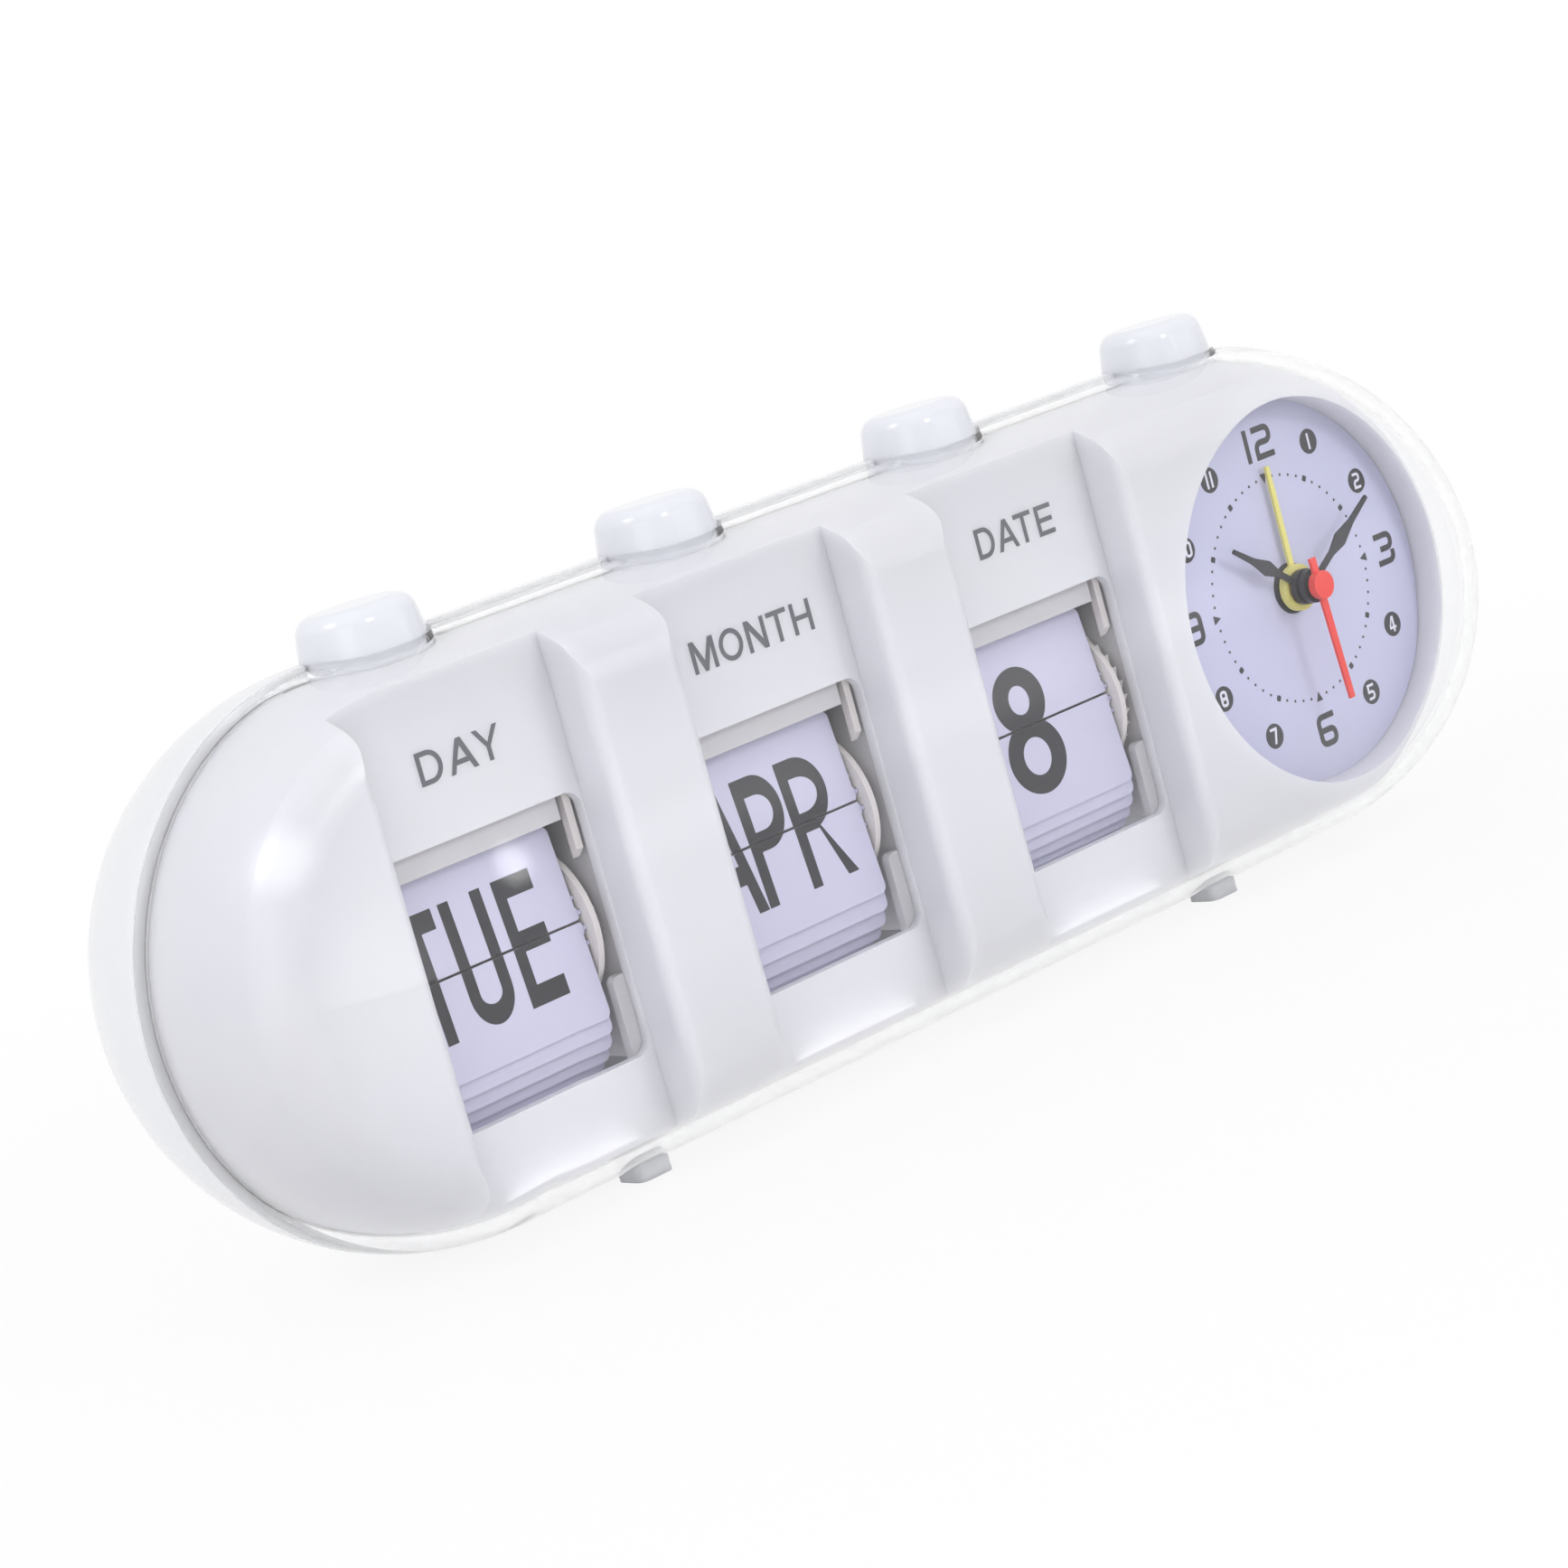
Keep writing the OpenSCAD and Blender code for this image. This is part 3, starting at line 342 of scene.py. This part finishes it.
def cover_stations():
    """Stations along the seam's closed line."""
    sides = [CAP_X - 2 * CAP_X * k / SIDE_STEPS for k in range(1, SIDE_STEPS)]
    turns = [180 * k / END_STEPS for k in range(END_STEPS + 1)]
    right = [(CAP_X, angle - 90) for angle in turns]
    left = [(-CAP_X, angle + 90) for angle in turns]
    return right + [(x, 90) for x in sides] + left + [(-x, -90) for x in sides]


def cover_section():
    """The wall's section as (radius, y): from the seam over the front, and from there back inside."""
    first = math.degrees(math.asin(SEAM_CHAMFER / COVER_R))
    inner_r = COVER_R - COVER_T
    outer = arc(0, 0, COVER_R, COVER_R, first, 90, SECTION_STEPS)
    inner = arc(0, 0, inner_r, inner_r, 90, 0, SECTION_STEPS)
    rim = [(inner_r, -SEAM_ROOM), (COVER_R - SEAM_CHAMFER, -SEAM_ROOM)]
    return [(r, -y) for r, y in outer], [(r, -y) for r, y in inner[:-1]] + rim


def cover_mesh():
    """The wall without its holes. No face joins its two sides at the middle of the front."""
    form = bmesh.new()
    outer, inner = cover_section()
    rings = [ring(form, outer + inner, x, angle) for x, angle in cover_stations()]
    for one, two in zip(rings, rings[1:] + rings[:1]):
        band(form, one, two, gap=len(outer))
    bmesh.ops.remove_doubles(form, verts=form.verts[:], dist=WELD * MM)
    bmesh.ops.recalc_face_normals(form, faces=form.faces[:])
    return mesh_of(form, "cover_wall")


def hole_mesh():
    """Upright rods that cut the button holes."""
    form = bmesh.new()
    r = HOLE_W / 2
    bend = HOLE_L / 2 - r
    loop = arc(bend, 0, r, r, -90, 90) + arc(-bend, 0, r, r, 90, 270)
    for x in BUTTONS_X:
        low, high = ([form.verts.new(((x + u) * MM, v * MM, z * MM)) for u, v in loop] for z in HOLE_Z)
        form.faces.new(low[::-1])
        form.faces.new(high)
        band(form, low, high)
    return mesh_of(form, "button_holes")


cover = link(bpy.data.objects.new("cover_wall", cover_mesh()))
holes = link(bpy.data.objects.new("button_holes", hole_mesh()))
cut = cover.modifiers.new("holes", "BOOLEAN")
cut.object = holes
cut.solver = "EXACT"
ready = cover.evaluated_get(bpy.context.evaluated_depsgraph_get())
cut_mesh = bpy.data.meshes.new_from_object(ready)
cover.modifiers.clear()
cover.data = cut_mesh
bpy.data.objects.remove(holes)
cut_mesh.shade_smooth()
cut_mesh.set_sharp_from_angle(angle=SHARP)
cut_mesh.materials.clear()
cut_mesh.materials.append(CLEAR)
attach(cover, "case")
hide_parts("front_cover")


# Print: flat outlines in millimetres, u to the right and w up
INK = 0.012
FILM = 0.01
ELLIPSE_POINTS = 40
CORNER_STEPS = 5
BEND_STEPS = 6
SAME_POINT = 1e-5


def ellipse(cu, cw, ru, rw):
    return arc(cu, cw, ru, rw, 0, 360 - 360 / ELLIPSE_POINTS, ELLIPSE_POINTS - 1)


def round_box(u0, w0, u1, w1, r):
    centres = ((u1 - r, w1 - r), (u0 + r, w1 - r), (u0 + r, w0 + r), (u1 - r, w0 + r))
    loop = []
    for quarter, (cu, cw) in enumerate(centres):
        loop += arc(cu, cw, r, r, 90 * quarter, 90 * quarter + 90, CORNER_STEPS)
    return loop


def rounded_line(points):
    """An open line through points (u, w, radius): its corners become arcs."""
    line = [Vector(points[0][:2])]
    for before, here, after in zip(points, points[1:], points[2:]):
        corner, radius = Vector(here[:2]), here[2]
        back = (Vector(before[:2]) - corner).normalized()
        ahead = (Vector(after[:2]) - corner).normalized()
        half = back.angle(ahead) / 2
        middle = corner + (back + ahead).normalized() * radius / math.sin(half)
        first = corner + back * radius / math.tan(half) - middle
        last = corner + ahead * radius / math.tan(half) - middle
        turn = math.atan2(first.x * last.y - first.y * last.x, first.dot(last))
        for k in range(BEND_STEPS + 1 if radius else 1):
            line.append(middle + Matrix.Rotation(turn * k / BEND_STEPS, 2) @ first)
    line.append(Vector(points[-1][:2]))
    return line


def stroke(points, width):
    """Outline of a pen line of constant width."""
    line = rounded_line(points)
    left, right = [], []
    for i, here in enumerate(line):
        start = max(i - 1, 0)
        ways = [b - a for a, b in zip(line[start:i + 1], line[start + 1:i + 2])]
        sides = [Vector((-way.y, way.x)).normalized() for way in ways]
        side = sum(sides, Vector((0, 0))).normalized()
        side *= width / 2 / side.dot(sides[0])
        left.append(tuple(here + side))
        right.append(tuple(here - side))
    return left + right[::-1]


def outline(*loops):
    """Fills closed loops; a loop inside another one is a hole."""
    form = bmesh.new()
    for loop in loops:
        steps = [p for p, q in zip(loop, loop[1:] + loop[:1]) if math.dist(p, q) > SAME_POINT]
        corners = [form.verts.new((*p, 0)) for p in steps]
        for a, b in zip(corners, corners[1:] + corners[:1]):
            form.edges.new((a, b))
    bmesh.ops.triangle_fill(form, use_beauty=True, edges=form.edges[:])
    return form


def letter(sign, w, h, s, t):
    """Loops of a capital in a box of w by h with upright strokes of width s and level ones of width t."""
    m = w / 2
    stem_left, stem_right = m - s / 2, m + s / 2
    low, high = (h - t) / 2, (h + t) / 2
    bowl = 0.29 * h
    waist = h - 2 * bowl
    round_u = 0.55 * w
    inner_u = round_u - s

    def eye(reach):
        """Hole of a P or R that reaches that far to the right."""
        return [(s, h - t)] + arc(reach - round_u, h - bowl, inner_u, bowl - t, 90, -90) + [(s, waist + t)]

    if sign == "T":
        return [[(0, h), (0, h - t), (stem_left, h - t), (stem_left, 0), (stem_right, 0),
                 (stem_right, h - t), (w, h - t), (w, h)]]
    if sign == "H":
        return [[(0, 0), (0, h), (s, h), (s, high), (w - s, high), (w - s, h), (w, h), (w, 0), (w - s, 0),
                 (w - s, low), (s, low), (s, 0)]]
    if sign == "E":
        middle = 0.96 * w
        return [[(0, 0), (0, h), (w, h), (w, h - t), (s, h - t), (s, high), (middle, high), (middle, low),
                 (s, low), (s, t), (w, t), (w, 0)]]
    if sign == "U":
        sag = 1.25 * m
        return [[(0, h)] + arc(m, sag, m, sag, 180, 360) + [(w, h), (w - s, h)]
                + arc(m, sag, m - s, sag - t, 360, 180) + [(s, h)]]
    if sign == "O":
        return [ellipse(m, h / 2, m, h / 2), ellipse(m, h / 2, m - s, h / 2 - t)]
    if sign == "D":
        return [[(0, 0), (0, h)] + arc(w - round_u, h / 2, round_u, h / 2, 90, -90),
                [(s, t), (s, h - t)] + arc(w - round_u, h / 2, inner_u, h / 2 - t, 90, -90)]
    if sign == "P":
        return [[(0, 0), (0, h)] + arc(w - round_u, h - bowl, round_u, bowl, 90, -90)
                + [(s, waist), (s, 0)], eye(w)]
    if sign == "R":
        reach = 0.9 * w
        return [[(0, 0), (0, h)] + arc(reach - round_u, h - bowl, round_u, bowl, 90, -70)
                + [(w, 0), (w - 1.1 * s, 0), (m, waist), (s, waist), (s, 0)], eye(reach)]
    if sign == "A":
        foot, tip = 1.05 * s, 0.55 * s
        apex, bar = h - 1.5 * t, 0.24 * h
        leg_low = foot + (m - foot) * bar / apex
        leg_high = foot + (m - foot) * (bar + t) / apex
        return [[(0, 0), (m - tip, h), (m + tip, h), (w, 0), (w - foot, 0), (w - leg_low, bar),
                 (leg_low, bar), (foot, 0)],
                [(leg_high, bar + t), (m, apex), (w - leg_high, bar + t)]]
    if sign == "Y":
        fork, arm = 0.42 * h, 1.15 * s
        return [[(stem_left, 0), (stem_left, fork), (0, h), (arm, h), (m, fork + 0.9 * t), (w - arm, h),
                 (w, h), (stem_right, fork), (stem_right, 0)]]
    if sign == "N":
        lower, upper, arm = 0.3 * h, 0.7 * h, 1.15 * s
        return [[(0, 0), (0, h), (arm, h), (w - s, lower), (w - s, h), (w, h), (w, 0), (w - arm, 0),
                 (s, upper), (s, 0)]]
    if sign == "M":
        lower, upper, arm, tip = 0.34 * h, 0.7 * h, 1.2 * s, 0.42 * s
        return [[(0, 0), (0, h), (arm, h), (m, lower), (w - arm, h), (w, h), (w, 0), (w - s, 0),
                 (w - s, upper), (m + tip, 0), (m - tip, 0), (s, upper), (s, 0)]]
    if sign == "W":
        left, right, tip = 0.19 * w, 0.81 * w, 0.45 * s
        lower, upper = 0.36 * h, 0.62 * h
        return [[(0, h), (left, 0), (left + s, 0), (m, upper), (right - s, 0), (right, 0), (w, h),
                 (w - s, h), (right - s / 2, lower), (m + tip, h), (m - tip, h), (left + s / 2, lower),
                 (s, h)]]


def numeral(sign, w, h, s):
    """Loops of a squarish numeral drawn with a pen of width s, in a box of w by h."""
    u0, u1, w0, w1, m = s / 2, w - s / 2, s / 2, h - s / 2, h / 2
    r = min(0.6 * s + 0.12 * w, 0.45 * (w1 - m))
    six = [(w, w1), (u0, w1, r), (u0, w0, r), (u1, w0, r), (u1, m, r), (s, m)]
    if sign == "0":
        return [round_box(0, 0, w, h, 0.45 * w), round_box(s, s, w - s, h - s, 0.45 * (w - 2 * s))]
    if sign == "1":
        left, right = (w - s) / 2, (w + s) / 2
        return [[(left, 0), (right, 0), (right, h), (left, h)]]
    if sign == "2":
        return [stroke([(0, w1), (u1, w1, r), (u1, m, r), (u0, m, r), (u0, w0, 0), (w, w0)], s)]
    if sign == "3":
        return [stroke([(0, w1), (u1, w1, r), (u1, m, r), (0.25 * w, m)], s),
                stroke([(u1, m - 0.55 * s), (u1, w0, r), (0, w0)], s)]
    if sign == "4":
        left, right = 0.5 * w, 0.5 * w + s
        low, high = 0.2 * h, 0.2 * h + s
        return [[(left, 0), (left, low), (0, low), (0, high), (0.45 * w, h), (right, h), (right, high),
                 (w, high), (w, low), (right, low), (right, 0)],
                [(0.2 * w, high), (left, high), (left, 0.82 * h)]]
    if sign == "5":
        return [stroke([(w, w1), (u0, w1, 0), (u0, m, 0), (u1, m, r), (u1, w0, r), (0, w0)], s)]
    if sign == "6":
        return [stroke(six, s)]
    if sign == "7":
        foot = 0.3 * w
        return [[(0, h), (w, h), (w, h - s), (foot + 1.1 * s, 0), (foot, 0), (w - 1.2 * s, h - s),
                 (0, h - s)]]
    if sign == "8":
        return [round_box(0, 0, w, h, 0.4 * w), round_box(s, s, w - s, m - s / 2, 0.2 * w),
                round_box(s, m + s / 2, w - s, h - s, 0.2 * w)]
    if sign == "9":
        return [stroke([(w - p[0], h - p[1], *p[2:]) for p in six], s)]


def shifted(loops, u, w):
    return [[(a + u, b + w) for a, b in loop] for loop in loops]


def word(places, base, height, s, t):
    """Forms of letters given as (sign, left edge, width)."""
    return [outline(*shifted(letter(sign, w, height, s, t), left, base)) for sign, left, w in places]


def keep_above(form, level, sign):
    """Cuts a flat form at w = level and keeps the part above it (sign 1) or below it (sign -1)."""
    whole = form.verts[:] + form.edges[:] + form.faces[:]
    bmesh.ops.bisect_plane(
        form, geom=whole, plane_co=(0, level, 0), plane_no=(0, sign, 0), clear_inner=True
    )
    return form


def printed(name, forms, origin, up, finish, body):
    """Joins flat forms into one piece of print: u runs along X and w along up, both from origin."""
    whole = bmesh.new()
    for form in forms:
        part = mesh_of(form, "part")
        whole.from_mesh(part)
        bpy.data.meshes.remove(part)
    right, up = Vector((1, 0, 0)), Vector(up).normalized()
    face = right.cross(up)
    turn = Matrix((right, up, face)).transposed()
    for v in whole.verts:
        v.co = (Vector(origin) + turn @ v.co) * MM
    whole.normal_update()
    for f in whole.faces:
        if f.normal.dot(face) < 0:
            f.normal_flip()
    mesh = mesh_of(whole, name)
    mesh.materials.append(finish)
    piece = link(bpy.data.objects.new(name, mesh))
    film = piece.modifiers.new("film", "SOLIDIFY")
    film.thickness = FILM * MM
    film.offset = -1
    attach(piece, body)


# Captions on the bay floors: letters with left edge and width, base line
CAPTION_H = 3.7
CAPTION_PEN = (0.6, 0.56)
CAPTIONS = {
    "day": ([("D", -5.2, 3.35), ("A", -1.15, 3.8), ("Y", 2.65, 3.6)], 17.55),
    "month": (
        [("M", -8.8, 3.7), ("O", -4.5, 3.6), ("N", -0.25, 3.05), ("T", 3.25, 3.1), ("H", 6.95, 3.1)],
        18.0,
    ),
    "date": ([("D", -5.6, 3.05), ("A", -2.1, 3.5), ("T", 1.25, 3.0), ("E", 4.95, 2.85)], 18.3),
}
for unit, (places, base) in CAPTIONS.items():
    forms = word(places, base, CAPTION_H, *CAPTION_PEN)
    origin = (UNIT_X[unit], BAY_Y - INK, AXIS_Z)
    printed(unit + "_caption", forms, origin, (0, 0, 1), INK_CAPTION, "case")


# Leaves: the text is cut at the split. The falling leaf carries the top of this text in front and the
# bottom of the next one behind. Texts: base line, height, then the letters of this text and the next
LEAF_PEN = (1.5, 2.35)
LEAF_TEXTS = {
    "day": (
        -7.0,
        14.75,
        [("T", -11.8, 5.65), ("U", -5.15, 5.95), ("E", 2.35, 5.4)],
        [("W", -11.8, 7.4), ("E", -3.5, 5.0), ("D", 2.3, 5.7)],
    ),
    "month": (
        -7.6,
        15.3,
        [("A", -11.9, 6.2), ("P", -5.55, 6.5), ("R", 1.45, 7.35)],
        [("M", -11.8, 7.3), ("A", -4.1, 6.4), ("Y", 2.4, 6.3)],
    ),
}

# Date figures: level of an ellipse's centre over the split, half its width and half its height
DATE_SHIFT = -2.3
FIGURE_STEPS = 40
EIGHT_WAIST = 0.05
EIGHT_TOP = (3.35, 4.28, 4.17)
EIGHT_TOP_HOLE = (3.35, 1.68, 1.82)
EIGHT_LOW = (-3.84, 4.77, 4.69)
EIGHT_LOW_HOLE = (-3.84, 2.24, 2.36)
NINE_TOP = (3.2, 4.5, 4.35)
NINE_TOP_HOLE = (3.2, 1.85, 2)
NINE_TOP_END = 300

# Tail of the nine: centre of its two arcs, their half widths and heights, its angles
TAIL_CENTRE = (-1, 2.5)
TAIL_INNER = (3, 8.5)
TAIL_OUTER = (5.5, 11)
TAIL_START = -25
TAIL_END = -80


def big_eight():
    """Two ellipses that meet at a waist."""
    start = math.degrees(math.asin((EIGHT_WAIST - EIGHT_TOP[0]) / EIGHT_TOP[2]))
    end = math.degrees(math.asin((EIGHT_WAIST - EIGHT_LOW[0]) / EIGHT_LOW[2]))
    edge = arc(0, *EIGHT_TOP, start, 180 - start, FIGURE_STEPS)
    edge += arc(0, *EIGHT_LOW, 180 - end, 360 + end, FIGURE_STEPS)
    return [edge, ellipse(0, *EIGHT_TOP_HOLE), ellipse(0, *EIGHT_LOW_HOLE)]


def big_nine():
    """An ellipse with a tail between two arcs."""
    edge = arc(0, *NINE_TOP, 0, NINE_TOP_END, FIGURE_STEPS)
    edge += arc(*TAIL_CENTRE, *TAIL_INNER, TAIL_START, TAIL_END)
    edge += arc(*TAIL_CENTRE, *TAIL_OUTER, TAIL_END, 0)
    return [edge, ellipse(0, *NINE_TOP_HOLE)]


def leaf_text(unit, state):
    """Forms of a leaf text: state 0 is the one on show, 1 is the next."""
    if unit == "date":
        figure = (big_eight, big_nine)[state]
        return [outline(*shifted(figure(), DATE_SHIFT, 0))]
    base, height, *texts = LEAF_TEXTS[unit]
    return word(texts[state], base, height, *LEAF_PEN)


def leaf_place(count, index, lean):
    """Hinge point, direction to the free edge and front normal of a leaf, in the unit's Y and Z."""
    angle = math.radians(SPLIT_ANGLE + 360 / count * (index + 0.5))
    lean = math.radians(lean)
    hinge = Vector((0, -HINGE_R * math.cos(angle), AXIS_Z - DRUM_DROP + HINGE_R * math.sin(angle)))
    return hinge, Vector((0, math.sin(lean), math.cos(lean))), Vector((0, -math.cos(lean), math.sin(lean)))


for unit, count in LEAVES.items():
    pitch = 360 / count
    overhang = HINGE_R * math.sin(math.radians(pitch / 2)) - SPLIT_GAP / 2
    upper = leaf_place(count, 0, LEAN_UP)
    lower = leaf_place(count, count - 1, 180 + TILT_DOWN)
    next_upper = leaf_place(count, 1, LEAN_UP + LEAN_RATE * pitch)
    # name, text, half of the text, leaf, side of the leaf, body
    prints = (
        ("upper_now", 0, 1, upper, 1, "_flip_leaf"),
        ("lower_now", 0, -1, lower, -1, "_drum"),
        ("upper_next", 1, 1, next_upper, 1, "_drum"),
        ("lower_next", 1, -1, upper, -1, "_flip_leaf"),
    )
    for name, state, half, (hinge, along, front), side, body in prints:
        forms = [keep_above(form, half * SPLIT_GAP / 2, half) for form in leaf_text(unit, state)]
        edge = hinge - along * (overhang + SPLIT_GAP / 2)
        origin = edge + front * side * (LEAF_T / 2 + INK) + Vector((UNIT_X[unit], 0, 0))
        printed(f"{unit}_{name}", forms, origin, along * half, INK_GREY, unit + body)


# Dial: a ring of minute marks, big numbers at the quarters and small ones on round spots. A number's size
# is its numerals' width, their height and the width of the pen
TRACK_R = 14.55
QUARTER_MARK = ((-0.6, 0.6), (0, -0.7), (0.6, 0.6))
HOUR_MARK = round_box(-0.36, -0.38, 0.36, 0.38, 0.16)
MINUTE_MARK = arc(0, 0, 0.19, 0.19, 0, 330, 11)
BIG_R = 19.0
BIG_SIZE = (3.5, 4.3, 0.78)
TWELVE_SHIFT = 0.4
SMALL_R = 19.5
SMALL_SIZE = (1.3, 2.1, 0.36)
SPOT_R = 1.62
ONE_SHARE = 0.45
NUMERAL_GAP = 0.7


def clock_place(hour, radius):
    angle = math.radians(30 * hour)
    return radius * math.sin(angle), radius * math.cos(angle)


def turned(points, hour):
    turn = Matrix.Rotation(math.radians(-30 * hour), 2)
    return [tuple(turn @ Vector(p)) for p in points]


def number(text, u, w, size, height, s):
    """Forms of a number centred on u and w; a 1 takes less room than the other numerals."""
    widths = [ONE_SHARE * size if sign == "1" else size for sign in text]
    left = u - (sum(widths) + NUMERAL_GAP * s * (len(text) - 1)) / 2
    forms = []
    for sign, width in zip(text, widths):
        forms.append(outline(*shifted(numeral(sign, width, height, s), left, w - height / 2)))
        left += width + NUMERAL_GAP * s
    return forms


marks, numbers = [], []
for minute in range(60):
    u, w = clock_place(minute / 5, TRACK_R)
    if minute % 15 == 0:
        mark = turned(QUARTER_MARK, minute / 5)
    elif minute % 5 == 0:
        mark = turned(HOUR_MARK, minute / 5)
    else:
        mark = MINUTE_MARK
    marks.append(outline(*shifted([mark], u, w)))
for hour in range(1, 13):
    if hour % 3 == 0:
        u, w = clock_place(hour, BIG_R)
        marks += number(str(hour), u + (TWELVE_SHIFT if hour == 12 else 0), w, *BIG_SIZE)
    else:
        u, w = clock_place(hour, SMALL_R)
        marks.append(outline(ellipse(u, w, SPOT_R, SPOT_R)))
        numbers += number(str(hour), u, w, *SMALL_SIZE)
dial_at = (DIAL_X, DIAL_Y - INK, AXIS_Z + DIAL_LIFT)
dial_on = (DIAL_X, DIAL_Y - 2 * INK, AXIS_Z + DIAL_LIFT)
printed("dial_marks", marks, dial_at, (0, 0, 1), INK_GREY, "case")
printed("dial_small_numbers", numbers, dial_on, (0, 0, 1), INK_WHITE, "case")


# Stage, in metres: a pale floor that goes white in the distance, soft lamps and the camera
FLOOR_COLOUR = (0.9, 0.9, 0.91)
FLOOR_ROUGH = 0.9
FLOOR_SHINE = 0.1
FLOOR_HALF = 4
WHITE_NEAR = 0.88
WHITE_FROM = 0.08
WHITE_TO = 0.3
SKY = (0.975, 0.98, 1)
SKY_STRENGTH = 0.86


def sight_and_light(tree, seen, light):
    """Shows one shader to the camera, to mirrors and through clear pieces, and lights with another."""
    path = tree.nodes.new("ShaderNodeLightPath")
    sight = path.outputs["Is Camera Ray"]
    for ray in ("Is Glossy Ray", "Is Transmission Ray"):
        most = tree.nodes.new("ShaderNodeMath")
        most.operation = "MAXIMUM"
        tree.links.new(sight, most.inputs[0])
        tree.links.new(path.outputs[ray], most.inputs[1])
        sight = most.outputs["Value"]
    mix = tree.nodes.new("ShaderNodeMixShader")
    tree.links.new(sight, mix.inputs["Fac"])
    tree.links.new(light, mix.inputs[1])
    tree.links.new(seen, mix.inputs[2])
    return mix.outputs["Shader"]


def distance_from(tree, place):
    where = tree.nodes.new("ShaderNodeNewGeometry")
    away = tree.nodes.new("ShaderNodeVectorMath")
    away.operation = "DISTANCE"
    away.inputs[1].default_value = place
    tree.links.new(where.outputs["Position"], away.inputs[0])
    return away.outputs["Value"]


floor_mat, tree, shader = new_material("floor")
shader.inputs["Base Color"].default_value = (*FLOOR_COLOUR, 1)
shader.inputs["Roughness"].default_value = FLOOR_ROUGH
shader.inputs["Specular IOR Level"].default_value = FLOOR_SHINE
pale = shader.outputs["BSDF"]
white = tree.nodes.new("ShaderNodeEmission")
share = spread(tree, distance_from(tree, (0, 0, 0)), WHITE_NEAR, 1, WHITE_FROM, WHITE_TO, smooth=True)
seen = tree.nodes.new("ShaderNodeMixShader")
tree.links.new(share, seen.inputs["Fac"])
tree.links.new(pale, seen.inputs[1])
tree.links.new(white.outputs["Emission"], seen.inputs[2])
surface = sight_and_light(tree, seen.outputs["Shader"], pale)
tree.links.new(surface, tree.nodes["Material Output"].inputs["Surface"])
form = bmesh.new()
bmesh.ops.create_grid(form, x_segments=2, y_segments=2, size=FLOOR_HALF)
plane = mesh_of(form, "floor")
plane.materials.append(floor_mat)
floor = link(bpy.data.objects.new("floor", plane))

world = bpy.data.worlds.new("studio")
bpy.context.scene.world = world
world.use_nodes = True
tree = world.node_tree
soft = tree.nodes["Background"]
soft.inputs["Color"].default_value = (*SKY, 1)
soft.inputs["Strength"].default_value = SKY_STRENGTH
white = tree.nodes.new("ShaderNodeBackground")
white.inputs["Color"].default_value = (1, 1, 1, 1)
surface = sight_and_light(tree, white.outputs["Background"], soft.outputs["Background"])
tree.links.new(surface, tree.nodes["World Output"].inputs["Surface"])

# Soft lamps: azimuth (0 is the front) and elevation in degrees, distance and radius in metres, power
CENTRE = Vector((0, 0, AXIS_Z * MM))
LAMP_CORE = 0.2
LAMPS = {
    "left": (-80, 47.2, 0.974, 0.28, 3.0),
    "front": (21.7, 23, 0.9, 0.17, 2.1),
    "side": (41, 11, 1.2, 0.3, 0.7),
    "fill": (-45, 0, 0.5, 0.3, 1.1),
    "top": (0, 75, 1.1, 0.5, 0.6),
}


def disk_lamp(name, place, size, power):
    lamp = bpy.data.lights.new(name, "AREA")
    lamp.shape = "DISK"
    lamp.size = size
    lamp.energy = power
    obj = link(bpy.data.objects.new(name, lamp))
    obj.location = place
    return obj


def soft_lamp(name, azimuth, elevation, distance, radius, power):
    """A round lamp that fades to its rim and looks at the centre."""
    turn, lift = math.radians(azimuth), math.radians(elevation)
    way = Vector((math.sin(turn) * math.cos(lift), -math.cos(turn) * math.cos(lift), math.sin(lift)))
    place = CENTRE + way * distance
    obj = disk_lamp(name, place, 2 * radius, power)
    obj.rotation_euler = (-way).to_track_quat("-Z", "Y").to_euler()
    obj.data.use_nodes = True
    tree = obj.data.node_tree
    fade = spread(tree, distance_from(tree, place), 1, 0, LAMP_CORE * radius, radius, smooth=True)
    tree.links.new(fade, tree.nodes["Emission"].inputs["Strength"])


for name, measures in LAMPS.items():
    soft_lamp(name, *measures)

# Light that the milky shell lets in, under the leaf drums, in millimetres
INNER_Y = -1.0
INNER_Z = 6.0
INNER_SIZE = 28.0
INNER_POWER = 0.0026
for unit, x in UNIT_X.items():
    place = (x * MM, INNER_Y * MM, INNER_Z * MM)
    inner = disk_lamp(unit + "_inside", place, INNER_SIZE * MM, INNER_POWER)
    inner.rotation_euler = (math.pi, 0, 0)
    inner.visible_camera = False
    inner.visible_glossy = False
    inner.visible_transmission = False

CAMERA_PLACE = (-0.311168, -0.370679, 0.112342)
CAMERA_TURN = (80.3682, 15.2764, -41.6536)
LENS_LENGTH = 93.624
SENSOR = 36
SIGHT = (0.01, 20)
lens = bpy.data.cameras.new("camera")
lens.lens = LENS_LENGTH
lens.sensor_width = SENSOR
lens.clip_start, lens.clip_end = SIGHT
camera = link(bpy.data.objects.new("camera", lens))
camera.location = CAMERA_PLACE
camera.rotation_euler = Euler([math.radians(a) for a in CAMERA_TURN])
bpy.context.scene.camera = camera
bpy.context.scene.view_settings.view_transform = "Standard"
